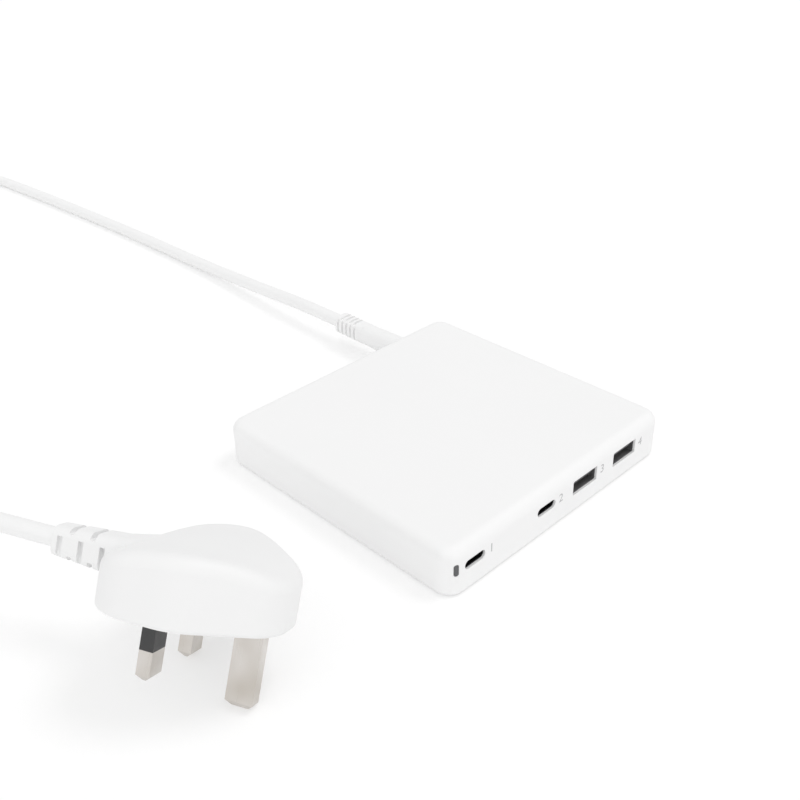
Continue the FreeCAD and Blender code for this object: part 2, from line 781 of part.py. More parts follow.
def make_mains_side():
    """From the lead's two cores to the bulk capacitors: terminal, fuse link, filter and rectifier."""
    rear_face = front
    flange_face = rear_face - S.wall - S.boot_flange
    room = roof - board_top
    terminal_y = front - S.terminal_setback
    terminal_size = (S.terminal_width, S.terminal_depth, room - S.terminal_headroom)
    node(box("terminal", *terminal_size, lead_x, terminal_y, board_top), "mains_terminal")
    terminal_face = terminal_y + S.terminal_depth / 2
    for name, side in (("live_wire", 1), ("neutral_wire", -1)):
        x = lead_x + side * S.wire_pitch / 2
        length = flange_face - terminal_face
        node(cylinder(f"{name}_core", S.wire_radius, length, x, terminal_face, S.lead_z, "Y"), name)
    link_z = board_top + S.fuse_link_radius
    link_x = right - S.fuse_link_inset
    link_y = front - S.fuse_link_setback - S.fuse_link_length / 2
    link = cylinder("link", S.fuse_link_radius, S.fuse_link_length, link_x, link_y, link_z, "Y")
    node(link, "board_fuse")
    choke = new_body("choke")
    choke_height = room - S.choke_headroom
    outline = new_sketch(choke, "XY_Plane", "choke_outline", S.choke_x, choke_y, board_top)
    circle(outline, S.choke_radius)
    circle(outline, S.choke_hole_radius)
    pad(choke, outline, choke_height, "choke_ring")
    dress(choke, "Fillet", choke_height / 5, "choke_round", at_height(board_top + choke_height))
    node(choke, "filter_choke")
    filter_height = room - S.filter_headroom
    fin_height = spreader_bottom - board_top - S.fin_headroom
    filter_y, bridge_y = front - S.filter_setback, front - S.bridge_setback
    switch_y = front - S.switch_setback
    fin_y = switch_y - S.switch_width / 2 - S.fin_thickness / 2
    for name, width, depth, height, x, y in (
        ("filter_capacitor", S.filter_width, S.filter_depth, filter_height, S.filter_x, filter_y),
        ("bridge_rectifier", S.bridge_width, S.bridge_depth, S.bridge_height, S.bridge_x, bridge_y),
        ("switch_transistor", S.switch_width, S.switch_width, S.switch_height, S.switch_x, switch_y),
        ("switch_heat_fin", S.fin_width, S.fin_thickness, fin_height, S.switch_x, fin_y),
    ):
        node(box(f"{name}_block", width, depth, height, x, y, board_top), name)
    bulk_floor = base_top + S.sheet_thickness
    bulk_radius = (roof - S.bulk_headroom - bulk_floor) / 2
    bulk_z = bulk_floor + bulk_radius
    for name, side in (("front", -1), ("rear", 1)):
        x = window_x - S.bulk_length / 2
        y = window_y + side * S.bulk_pitch / 2
        can = cylinder(f"bulk_{name}", bulk_radius, S.bulk_length, x, y, bulk_z, "X")
        node(can, f"bulk_capacitor_{name}")


def make_output_side():
    """Each port's converter: two inductors, four output capacitors and two control chips."""
    middle_c = (usb_c_left_x + usb_c_right_x) / 2
    middle_a = (usb_a_left_x + usb_a_right_x) / 2
    row_y, chip_y = S.output_row_setback - front, S.chip_row_setback - front
    cap_height = spreader_bottom - board_top - S.output_cap_headroom
    for name, x in (("c", middle_c), ("a", middle_a)):
        inductor_size = (S.inductor_side, S.inductor_side, S.inductor_height)
        inductor = box(f"inductor_{name}", *inductor_size, x, row_y, board_top)
        node(inductor, f"output_inductor_{name}")
        node(box(f"control_{name}", S.chip_side, S.chip_side, S.chip_height, x, chip_y, board_top),
             f"control_chip_{name}")
        for side, turn in (("left", -1), ("right", 1)):
            cap_x = x + turn * (S.inductor_side / 2 + S.output_cap_radius + S.board_gap)
            cap_size = (S.output_cap_radius, cap_height)
            cap = cylinder(f"cap_{name}_{side}", *cap_size, cap_x, row_y, board_top)
            node(cap, f"output_capacitor_{name}_{side}")


# Mains lead

def slot_rows(body, name, role, along, start, middle, side, width, count, pitch, backwards=False):
    """A row of slots on two opposite faces of a strain relief, cut right across down to its core."""
    for turn, face in ((-1, "low"), (1, "high")):
        across = middle + turn * (S.relief_core + side) / 2
        x, y = (across, start) if along == "V_Axis" else (start, across)
        outline = new_sketch(body, role, f"{name}_{face}_outline", x, y, -side)
        size = (side, width) if along == "V_Axis" else (width, side)
        rounded_rectangle(outline, *size, width / 4)
        single = pocket(body, outline, 2 * side, f"{name}_{face}", reverse=True)
        row = body.newObject("PartDesign::LinearPattern", f"{name}_{face}_row")
        row.Originals = [single]
        row.Direction = (outline, [along])
        row.Reversed = backwards
        row.Mode = "Spacing"
        bind(row, "Offset", pitch)
        row.Occurrences = int(count)
        body.Tip = row
        doc.recompute()


def make_boot():
    """The lead's moulded strain relief: a flange inside the rear wall, a smooth taper and a slotted tip."""
    body = new_body("cord_boot")
    profile = new_sketch(body, "XZ_Plane", "boot_profile")
    inside = -(S.wall + S.boot_flange)
    polygon(profile, (
        (0, inside),
        (S.boot_flange_radius, inside),
        (S.boot_flange_radius, -S.wall),
        (S.boot_neck_radius, -S.wall),
        (S.boot_neck_radius, 0),
        (S.boot_shoulder_radius, 0),
        (S.boot_tip_radius, S.boot_smooth),
        (0, S.boot_smooth),
    ))
    revolve(body, profile, "boot_taper")
    bite = S.boot_slot_pitch
    tip = new_sketch(body, "XY_Plane", "boot_tip_outline", z=S.boot_smooth - bite)
    rounded_rectangle(tip, S.boot_side, S.boot_side, S.boot_corner)
    pad(body, tip, S.boot_slotted + bite, "boot_tip")
    first = S.boot_smooth + S.boot_slot_pitch / 2
    count = int(S.boot_slot_count.value)
    rows = (
        ("XZ_Plane", "boot_side_slots", first, count),
        ("YZ_Plane", "boot_top_slots", first + S.boot_slot_pitch / 2, count - 1),
    )
    for role, name, start, slots in rows:
        sizes = (S.boot_side, S.boot_slot_width, slots, S.boot_slot_pitch)
        slot_rows(body, name, role, "V_Axis", start, as_size(0), *sizes)
    body.Placement = Placement(Vector(), Rotation(Vector(1, 0, 0), -90))
    put(body, lead_x, front, S.lead_z)
    node(body, "cord_boot")


# Plug, in its own frame: pin face at z = 0, pins down, +x towards the earth pin, the lead leaving at -x

def plug_pose():
    """Stands the plug on its earth and neutral tips, rolled about the line between them."""
    half, low = S.pin_spacing.value / 2, -S.line_pin_length.value
    live, neutral = Vector(0, -half, low), Vector(0, half, low)
    earth = Vector(S.earth_offset.value, 0, -S.earth_pin_length.value)
    upright = (earth - live).cross(neutral - live).normalize()
    level = Rotation(upright, Vector(0, 0, 1))
    tips_line = level.multVec(neutral - earth)
    turn = Rotation(Vector(0, 0, 1), S.plug_heading.value) * Rotation(tips_line, S.plug_roll.value) * level
    return Placement(Vector(S.plug_x.value, S.plug_y.value, 0), turn)


def pin_sketch(body, name, x, y, z):
    """A level sketch about a pin's axis."""
    return new_sketch(body, "XY_Plane", name, x, y, z)


def upright_at(x):
    """A test for upright edges at x."""
    place = as_size(x).value
    return lambda edge: edge.BoundBox.ZLength > 1 and edge.BoundBox.XLength < 1e-3 and (
        abs(edge.BoundBox.XMin - place) < 1e-3
    )


def pad_plug_plan(body):
    """The body's plan: as wide as the grip at the lead's end, tapered to a round nose past the earth pin."""
    tail, nose = -S.plug_cord_margin, S.earth_offset + S.plug_earth_margin
    half, tip = S.plug_width / 2, S.plug_nose_width / 2
    shoulder = S.plug_shoulder_x
    plan = new_sketch(body, "XY_Plane", "plug_plan")
    near_side = ((tail, -half), (shoulder, -half), (nose, -tip))
    far_side = ((nose, tip), (shoulder, half), (tail, half))
    polygon(plan, near_side + far_side)
    pad(body, plan, S.plug_crest_height, "plug_block")
    for name, x, radius in (
        ("tail", tail, S.plug_corner),
        ("shoulder", shoulder, S.plug_shoulder_radius),
        ("nose", nose, S.plug_nose_radius),
    ):
        dress(body, "Fillet", radius, f"plug_{name}_round", upright_at(x))


def make_plug_body():
    """The moulded body: a tapered skirt, a domed top and a neck that runs into the slotted strain relief."""
    body = new_body("plug_body")
    pad_plug_plan(body)
    cut_plug_top(body)
    rim = S.plug_rim_round.value
    ends = (-S.plug_cord_margin.value, (S.earth_offset + S.plug_earth_margin).value)

    def on_rim(edge):
        bounds = edge.BoundBox
        seam = bounds.XLength < 1e-3 and min(abs(bounds.XMin - end) for end in ends) > 1e-3
        return bounds.ZMin > rim and bounds.ZLength < rim and not seam

    dress(body, "Fillet", S.plug_rim_round, "plug_rim_round", on_rim)
    dress(body, "Fillet", S.plug_edge_round, "plug_edge_round", at_height(0))

    sections = []
    for name, x, side in (
        ("neck", S.neck_bite - S.plug_cord_margin, S.neck_side),
        ("relief_root", -(S.plug_cord_margin + S.neck_reach), S.relief_root_side),
        ("relief_tip", -(S.plug_cord_margin + S.relief_length), S.relief_tip_side),
    ):
        section = new_sketch(body, "YZ_Plane", name, 0, S.relief_height_above_face, x)
        rounded_rectangle(section, side, side, S.relief_corner)
        sections.append(section)
    relief = body.newObject("PartDesign::AdditiveLoft", "relief")
    relief.Profile = sections[0]
    relief.Sections = sections[1:]
    relief.Ruled = True
    doc.recompute()
    first = -(S.plug_cord_margin + S.relief_first_slot)
    between = first - S.relief_slot_pitch / 2
    count = int(S.relief_slot_count.value)
    for role, name, start, across, slots in (
        ("XY_Plane", "relief_side_slots", first, as_size(0), count),
        ("XZ_Plane", "relief_top_slots", between, S.relief_height_above_face, count - 1),
    ):
        sizes = (S.relief_root_side, S.relief_slot_width, slots, S.relief_slot_pitch)
        slot_rows(body, name, role, "H_Axis", start, across, *sizes, backwards=True)

    half = S.pin_spacing / 2
    narrow, thin = S.line_pin_width - 2 * S.sleeve_wall, S.pin_thickness - 2 * S.sleeve_wall
    carrier = 2 * (S.carrier_wall + S.carrier_fit)
    for name, x, y, size_x, size_y, depth in (
        ("live_root", as_size(0), -half, thin, narrow, S.pin_root),
        ("neutral_root", as_size(0), half, thin, narrow, S.pin_root),
        ("earth_root", S.earth_offset, as_size(0), S.earth_pin_width, S.pin_thickness, S.pin_root),
        ("carrier_room", S.carrier_x, as_size(0), S.fuse_length + carrier, 2 * S.fuse_radius + carrier,
         S.carrier_floor + 2 * S.fuse_radius),
    ):
        outline = pin_sketch(body, f"{name}_outline", x, y, as_size(0))
        rectangle(outline, size_x, size_y)
        pocket(body, outline, depth, name, reverse=True)
    node(body, "plug_body")


def cut_plug_top(body):
    """Cuts the top to a crown arc over the pins that runs into a hollow arc at the lead's end."""
    crown, waist = S.plug_crown_radius, S.plug_waist_radius
    reach = crown + waist
    fall = S.plug_crest_height - S.plug_waist_height
    left = -(S.plug_cord_margin + S.plug_edge_round)
    right = S.earth_offset + S.plug_earth_margin + S.plug_edge_round
    cap = S.plug_crest_height + S.plug_edge_round
    crest = Vector(S.plug_crest_x.value, S.plug_crest_height.value - crown.value, 0)
    run = math.sqrt(2 * reach.value * fall.value - fall.value**2)
    hollow = Vector(crest.x - run, S.plug_waist_height.value + waist.value, 0)
    meet = crest + (hollow - crest) * (crown.value / reach.value)
    start = Vector(left.value, hollow.y - math.sqrt(waist.value**2 - (left.value - hollow.x) ** 2), 0)
    end = Vector(right.value, crest.y + math.sqrt(crown.value**2 - (right.value - crest.x) ** 2), 0)
    sketch = new_sketch(body, "XZ_Plane", "plug_top_profile", 0, 0, -S.plug_width)

    def arc(middle, radius, first, last):
        angles = [math.atan2(point.y - middle.y, point.x - middle.x) for point in (first, last)]
        ring = Part.Circle(middle, Vector(0, 0, 1), radius.value)
        return sketch.addGeometry(Part.ArcOfCircle(ring, *angles), False)

    low = arc(hollow, waist, start, meet)
    high = arc(crest, crown, end, meet)
    corners = [end, Vector(end.x, cap.value, 0), Vector(start.x, cap.value, 0), start]
    lines = [sketch.addGeometry(Part.LineSegment(a, b), False) for a, b in zip(corners, corners[1:])]
    constrain(sketch, "Tangent", low, 2, high, 2)
    constrain(sketch, "Radius", low, waist)
    constrain(sketch, "Radius", high, crown)
    pin_point(sketch, high, 3, S.plug_crest_x, S.plug_crest_height - crown)
    constrain(sketch, "DistanceY", -1, 1, low, 3, S.plug_waist_height + waist)
    constrain(sketch, "DistanceX", -1, 1, low, 1, left)
    constrain(sketch, "DistanceX", -1, 1, high, 1, right)
    constrain(sketch, "Coincident", high, 1, lines[0], 1)
    constrain(sketch, "Coincident", lines[0], 2, lines[1], 1)
    constrain(sketch, "Coincident", lines[1], 2, lines[2], 1)
    constrain(sketch, "Coincident", lines[2], 2, low, 1)
    constrain(sketch, "Vertical", lines[0])
    constrain(sketch, "Horizontal", lines[1])
    constrain(sketch, "Vertical", lines[2])
    constrain(sketch, "DistanceY", -1, 1, lines[1], 1, cap)
    pocket(body, sketch, 2 * S.plug_width, "plug_top", reverse=True)


def make_pins():
    """Three pins rooted in the body, with the live and neutral ones sleeved next to it."""
    earth = new_body("earth_pin")
    outline = pin_sketch(earth, "earth_pin_outline", S.earth_offset, as_size(0), S.pin_root)
    rectangle(outline, S.earth_pin_width, S.pin_thickness)
    pad(earth, outline, S.pin_root + S.earth_pin_length, "earth_pin_blade", reverse=True)
    dress(earth, "Chamfer", S.pin_chamfer, "earth_pin_tip", at_height(-S.earth_pin_length))
    node(earth, "earth_pin")
    narrow, thin = S.line_pin_width - 2 * S.sleeve_wall, S.pin_thickness - 2 * S.sleeve_wall
    for name, side in (("live", -1), ("neutral", 1)):
        y = side * S.pin_spacing / 2
        pin = new_body(f"{name}_pin")
        blade = pin_sketch(pin, f"{name}_blade_outline", as_size(0), y, -S.sleeve_length)
        rectangle(blade, S.pin_thickness, S.line_pin_width)
        pad(pin, blade, S.line_pin_length - S.sleeve_length, f"{name}_blade", reverse=True)
        dress(pin, "Chamfer", S.pin_chamfer, f"{name}_tip", at_height(-S.line_pin_length))
        root = pin_sketch(pin, f"{name}_neck_outline", as_size(0), y, -S.sleeve_length)
        rectangle(root, thin, narrow)
        pad(pin, root, S.sleeve_length + S.pin_root, f"{name}_neck")
        node(pin, f"{name}_pin")
        sleeve = new_body(f"{name}_sleeve")
        tube = pin_sketch(sleeve, f"{name}_sleeve_outline", as_size(0), y, as_size(0))
        rectangle(tube, S.pin_thickness, S.line_pin_width)
        rectangle(tube, thin, narrow)
        pad(sleeve, tube, S.sleeve_length, f"{name}_sleeve_tube", reverse=True)
        node(sleeve, f"{name}_sleeve")


def make_plug_fuse():
    """The cartridge fuse in its tray, flush with the pin face between the pins."""
    width = 2 * (S.fuse_radius + S.carrier_wall)
    length = S.fuse_length + 2 * S.carrier_wall
    height = S.carrier_floor + 2 * S.fuse_radius
    tray = slab("carrier", length, width, S.sleeve_wall / 2, as_size(0), height, S.carrier_x)
    room = pin_sketch(tray, "carrier_hollow_outline", S.carrier_x, as_size(0), S.carrier_floor)
    rectangle(room, S.fuse_length, 2 * S.fuse_radius)
    pocket(tray, room, 2 * S.fuse_radius, "carrier_hollow", reverse=True)
    node(tray, "plug_fuse_carrier")
    fuse = new_body("cartridge")
    disc = new_sketch(fuse, "YZ_Plane", "cartridge_outline", 0, S.carrier_floor + S.fuse_radius,
                      S.carrier_x - S.fuse_length / 2)
    circle(disc, S.fuse_radius)
    pad(fuse, disc, S.fuse_length, "cartridge_tube")
    node(fuse, "plug_fuse")


def make_plug():
    """Makes the plug's pieces and stands them together, with the lowest tip on the surface."""
    before = len(NODES)
    make_plug_body()
    make_pins()
    make_plug_fuse()
    pose = plug_pose()
    pieces = NODES[before:]
    lowest = min(piece.Shape.transformed(pose.toMatrix()).optimalBoundingBox().ZMin for piece in pieces)
    pose.move(Vector(0, 0, -lowest))
    for piece in pieces:
        piece.Placement = pose
    return pose


# Lead and its coil
LEAD_RUN = (
    (34.2, 146.0, 6.4),
    (35.4, 196.0, 3.2),
    (34.9, 250.0, 2.8),
    (32.6, 304.0, 2.8),
    (29.4, 358.0, 2.8),
    (25.2, 410.0, 2.8),
    (12.0, 444.0, 2.8),
    (-20.0, 458.0, 2.8),
    (-50.0, 443.0, 2.8),
    (-64.0, 406.0, 2.8),
    (-62.5, 348.0, 3.0),
)
PLUG_RUN = (
    (-81.0, 229.5, 8.2),
    (-95.0, 209.0, 5.0),
    (-110.0, 186.0, 2.8),
    (-126.0, 163.0, 2.8),
    (-139.5, 141.0, 4.2),
    (-149.0, 116.0, 10.8),
    (-153.5, 89.0, 20.5),
    (-151.5, 62.0, 29.0),
)
COIL_EXIT_ANGLE = -30.0
COIL_OVERLAP = 14.0
COIL_ROUND = 0.49
TIE_ROUND = 0.44
ARC_SHARE = 0.45
EXIT_RUN = 4.0
TIE_ANGLE = 150.0


def tube(name, points, radius, less=None):
    """A round tube along straight runs joined by tangent arcs, each as large as its two runs allow."""
    edges = []
    radii = []
    joint = points[0]
    for before, corner, after in zip(points, points[1:], points[2:]):
        arrive, leave = (corner - before).normalize(), (after - corner).normalize()
        turn = arrive.getAngle(leave)
        reach = ARC_SHARE * min(corner.distanceToPoint(before), corner.distanceToPoint(after))
        bend = reach / math.tan(turn / 2)
        inward = (leave - arrive).normalize()
        middle = corner + inward * (bend / math.cos(turn / 2) - bend)
        start, end = corner - arrive * reach, corner + leave * reach
        edges.append(Part.LineSegment(joint, start).toShape())
        edges.append(Part.Arc(start, middle, end).toShape())
        radii.append(bend)
        joint = end
    edges.append(Part.LineSegment(joint, points[-1]).toShape())
    path = Part.Wire(edges)
    section = Part.Wire(Part.Circle(points[0], points[1] - points[0], radius).toShape())
    solid = path.makePipeShell([section], True, False)
    share = solid.Volume / (math.pi * radius**2 * path.Length)
    print(f"{name}: {path.Length:.0f} mm long, least radius {min(radii):.0f} mm, volume share {share:.4f}")
    obj = doc.addObject("Part::Feature", name)
    obj.Shape = solid.cut(less) if less else solid
    return node(obj, name)


def make_coil():
    """The outside of the coil, and the tie round it that it lies on."""
    thick = S.lead_diameter
    coil = new_body("lead_coil")
    outline = new_sketch(coil, "XZ_Plane", "coil_outline", S.coil_radius, S.tie_thickness + thick)
    rounded_rectangle(outline, 3 * thick, 2 * thick, thick * COIL_ROUND)
    ring = coil.newObject("PartDesign::Revolution", "coil_ring")
    ring.Profile = outline
    ring.ReferenceAxis = (next(axis for axis in coil.Origin.OriginFeatures if axis.Role == "Z_Axis"), [""])
    ring.Angle = 360
    put(coil, S.coil_x, S.coil_y)
    node(coil, "lead_coil")
    tie = new_body("coil_tie")
    middle = S.tie_thickness + thick
    band = new_sketch(tie, "XZ_Plane", "tie_outline", S.coil_radius, middle, -S.tie_width / 2)
    room = 2 * S.tie_clearance
    band_width, band_height = 3 * thick + room, 2 * thick
    both = 2 * S.tie_thickness
    rounded_rectangle(band, band_width + both, band_height + both, thick * COIL_ROUND)
    rounded_rectangle(band, band_width, band_height, thick * TIE_ROUND)
    pad(tie, band, S.tie_width, "tie_band")
    tie.Placement = Placement(Vector(), Rotation(Vector(0, 0, 1), TIE_ANGLE))
    put(tie, S.coil_x, S.coil_y)
    node(tie, "coil_tie")
    doc.recompute()
    return coil.Shape


def make_lead(pose, coil):
    """The lead from the boot to the coil, and from the coil to the plug's strain relief."""
    radius = S.lead_diameter.value / 2
    outer = (S.coil_radius + S.lead_diameter).value
    centre = Vector(S.coil_x.value, S.coil_y.value, S.tie_thickness.value)
    boot_end = Vector(lead_x.value, (front + S.boot_smooth + S.boot_slotted).value, S.lead_z.value)
    boot_run = boot_end + Vector(0, EXIT_RUN * S.lead_diameter.value, 0)
    arrive = centre + Vector(outer, COIL_OVERLAP, radius)
    tube("lead_cord", [boot_end, boot_run, *(Vector(*point) for point in LEAD_RUN), arrive], radius, coil)
    angle = math.radians(COIL_EXIT_ANGLE)
    leave = centre + Vector(outer * math.cos(angle), outer * math.sin(angle), 3 * radius)
    leave += Vector(math.sin(angle), -math.cos(angle), 0) * COIL_OVERLAP
    relief_end = -(S.plug_cord_margin + S.relief_length).value
    height = S.relief_height_above_face.value
    plug_end = pose.multVec(Vector(relief_end, 0, height))
    straight = pose.multVec(Vector(relief_end - EXIT_RUN * S.lead_diameter.value, 0, height))
    tube("plug_cord", [leave, *(Vector(*point) for point in PLUG_RUN), straight, plug_end], radius, coil)


make_top_cover()
make_base_cover()
make_feet_and_screws()
make_board()
for port_side, port_x in PORTS_A:
    make_usb_a(port_side, port_x)
for port_side, port_x in PORTS_C:
    make_usb_c(port_side, port_x)
make_indicator()
make_transformer()
make_mains_side()
make_output_side()
make_boot()
make_lead(make_plug(), make_coil())
doc.recompute()


def write_nodes():
    """Checks every object, then writes each sub-part to its own file."""
    broken = [obj.Name for obj in doc.Objects if {"Invalid", "Error"} & set(obj.State)]
    for obj in NODES:
        if obj.Shape.isNull() or not obj.Shape.isValid() or not obj.Shape.Solids:
            broken.append(obj.Label)
    if broken:
        raise RuntimeError(f"these objects failed: {broken}")
    os.makedirs("parts", exist_ok=True)
    for obj in NODES:
        obj.Shape.exportStep(f"parts/{obj.Label}.step")


write_nodes()
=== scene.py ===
"""Looks of a flat white desktop charger with a captive mains lead and a moulded three-pin plug.

Metres, +Z up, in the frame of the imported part: the origin is under the middle of the case, on the floor.
"""

import logging
import math
from dataclasses import dataclass
from enum import Enum

import bmesh
import bpy
from mathutils import Matrix, Vector


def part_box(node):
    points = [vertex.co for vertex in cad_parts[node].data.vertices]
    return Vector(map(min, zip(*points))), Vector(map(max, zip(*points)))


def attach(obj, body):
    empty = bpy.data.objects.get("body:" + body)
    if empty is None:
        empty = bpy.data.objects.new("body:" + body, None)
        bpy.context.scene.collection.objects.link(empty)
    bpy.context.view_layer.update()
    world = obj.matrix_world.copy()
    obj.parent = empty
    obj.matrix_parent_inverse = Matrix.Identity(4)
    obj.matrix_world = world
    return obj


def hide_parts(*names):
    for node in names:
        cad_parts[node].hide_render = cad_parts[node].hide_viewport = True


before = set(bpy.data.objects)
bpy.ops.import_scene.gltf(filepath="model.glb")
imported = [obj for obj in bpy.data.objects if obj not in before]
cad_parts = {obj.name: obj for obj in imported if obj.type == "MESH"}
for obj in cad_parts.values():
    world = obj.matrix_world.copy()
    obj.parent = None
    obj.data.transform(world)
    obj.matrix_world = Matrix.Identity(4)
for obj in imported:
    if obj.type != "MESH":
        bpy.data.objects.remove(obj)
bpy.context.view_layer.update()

LOG = logging.getLogger("charger")
MM = 0.001
BODY = "root"
CORNERS = ("front_left", "front_right", "rear_left", "rear_right")
SIDES = ("left", "right")


class Port(Enum):
    """The two kinds of receptacle in the front wall."""

    OVAL = "usb_c"
    FLAT = "usb_a"


class Axis(Enum):
    """An axis of the part's frame."""

    X = "X"
    Y = "Y"
    Z = "Z"


# Shared helpers

def linear(code: str, alpha: float = 1.0) -> tuple[float, float, float, float]:
    """Turns an sRGB hex colour to linear light.

    Args:
        code: Six hex digits, with or without a leading hash sign.
        alpha: Opacity.

    Returns:
        Linear red, green, blue and alpha.
    """
    digits = code.lstrip("#")
    levels = [int(digits[at:at + 2], 16) / 255 for at in (0, 2, 4)]
    red, green, blue = (v / 12.92 if v <= 0.04045 else ((v + 0.055) / 1.055) ** 2.4 for v in levels)
    return red, green, blue, alpha


def add_node(
    tree: bpy.types.NodeTree, kind: str, inputs: dict[str | int, object] | None = None, **settings: object
) -> bpy.types.Node:
    """Adds one node, sets its properties, and sets or links its inputs.

    Args:
        tree: The tree that the node goes into.
        kind: The node's type name.
        inputs: A value or another node's output for each named or numbered input.
        settings: The node's own properties.

    Returns:
        The new node.
    """
    made = tree.nodes.new(kind)
    for name, value in settings.items():
        setattr(made, name, value)
    for name, value in (inputs or {}).items():
        if isinstance(value, bpy.types.NodeSocket):
            tree.links.new(value, made.inputs[name])
        else:
            made.inputs[name].default_value = value
    return made


def add_object(name: str, data: bpy.types.ID) -> bpy.types.Object:
    """Makes an object and puts it in the scene.

    Args:
        name: The object's name.
        data: Its mesh, curve, camera or lamp.

    Returns:
        The new object.
    """
    made = bpy.data.objects.new(name, data)
    bpy.context.scene.collection.objects.link(made)
    return made


def cad(name: str) -> bpy.types.Object:
    """Returns the object of a CAD node."""
    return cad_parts[name]


def centre_of(name: str) -> Vector:
    """Returns the middle of a CAD node's box."""
    low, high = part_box(name)
    return (low + high) / 2


# Finishes

@dataclass(frozen=True)
class Finish:
    """A material named for what the real piece is made of, with an even surface.

    Attributes:
        name: Common name of the material and how its surface was made.
        colour: sRGB hex colour.
        roughness: Roughness of the surface.
        ior: Index of refraction.
        metallic: One for a bare metal.
    """

    name: str
    colour: str
    roughness: float
    ior: float = 1.5
    metallic: float = 0.0

    def material(self) -> bpy.types.Material:
        """Makes the material the first time, and returns it."""
        found = bpy.data.materials.get(self.name)
        if found:
            return found
        made = bpy.data.materials.new(self.name)
        made.use_nodes = True
        made.diffuse_color = linear(self.colour)
        surface = made.node_tree.nodes["Principled BSDF"]
        surface.inputs["Base Color"].default_value = linear(self.colour)
        surface.inputs["Roughness"].default_value = self.roughness
        surface.inputs["IOR"].default_value = self.ior
        surface.inputs["Metallic"].default_value = self.metallic
        place = add_node(made.node_tree, "ShaderNodeTexCoord").outputs["Object"]
        self.detail(made.node_tree, surface, place)
        return made

    def detail(self, tree: bpy.types.NodeTree, surface: bpy.types.Node, place: bpy.types.NodeSocket) -> None:
        """Adds the pattern of the surface, which the plain finish has none of."""

    def lay(
        self, tree: bpy.types.NodeTree, surface: bpy.types.Node, pattern: bpy.types.NodeSocket,
        second: str = "", spread: float = 0.0, depth_mm: float = 0.0,
    ) -> None:
        """Lays a pattern on the surface, as a second tint, as uneven gloss or as height.

        Args:
            tree: The material's tree.
            surface: Its shader.
            pattern: Output that runs from 0 to 1.
            second: sRGB hex colour where the pattern is 1.
            spread: How far the roughness runs below and above the finish's own.
            depth_mm: Height of the pattern.
        """
        if second:
            tint = add_node(tree, "ShaderNodeMix", {"Factor": pattern}, data_type="RGBA")
            # The mix keeps sockets of each data type under the same names, and 6 and 7 are its colours
            tint.inputs[6].default_value = linear(self.colour)
            tint.inputs[7].default_value = linear(second)
            tree.links.new(tint.outputs[2], surface.inputs["Base Color"])
        if spread:
            gloss = add_node(
                tree, "ShaderNodeMapRange",
                {"Value": pattern, "To Min": self.roughness - spread, "To Max": self.roughness + spread},
            )
            tree.links.new(gloss.outputs["Result"], surface.inputs["Roughness"])
        if depth_mm:
            relief = add_node(tree, "ShaderNodeBump", {"Height": pattern, "Distance": depth_mm * MM})
            tree.links.new(relief.outputs["Normal"], surface.inputs["Normal"])

    def dress(self, *names: str) -> None:
        """Gives the material to CAD nodes.

        Args:
            names: The nodes' names.
        """
        for name in names:
            self.give(cad(name))

    def give(self, piece: bpy.types.Object) -> None:
        """Makes the material the only one of a piece."""
        piece.data.materials.clear()
        piece.data.materials.append(self.material())
        LOG.info("%s: %s", piece.name, self.name)


@dataclass(frozen=True)
class Moulded(Finish):
    """A moulded plastic with the fine grain of an eroded mould, and soft clouds where the melt met.

    Attributes:
        cloud: sRGB hex colour of the clouds.
        grain_mm: Spacing of the grain.
        depth_mm: Height of the grain.
        cloud_mm: Size of the clouds.
        uneven: How far the clouds move the roughness down and up.
    """

    cloud: str = "F2F2F2"
    # Drawn several times coarser than the grain of a real mould, which is too fine to show
    grain_mm: float = 0.5
    depth_mm: float = 0.008
    cloud_mm: float = 30.0
    uneven: float = 0.04

    def detail(self, tree: bpy.types.NodeTree, surface: bpy.types.Node, place: bpy.types.NodeSocket) -> None:
        """Adds clouds in the tint and the gloss, and the grain.

        Args:
            tree: The material's tree.
            surface: Its shader.
            place: Object coordinates.
        """
        clouds = add_node(
            tree, "ShaderNodeTexNoise", {"Vector": place, "Scale": 1 / (self.cloud_mm * MM), "Detail": 3.0}
        )
        grain = add_node(
            tree, "ShaderNodeTexNoise", {"Vector": place, "Scale": 1 / (self.grain_mm * MM), "Detail": 2.0}
        )
        self.lay(tree, surface, clouds.outputs["Fac"], second=self.cloud, spread=self.uneven)
        self.lay(tree, surface, grain.outputs["Fac"], depth_mm=self.depth_mm)


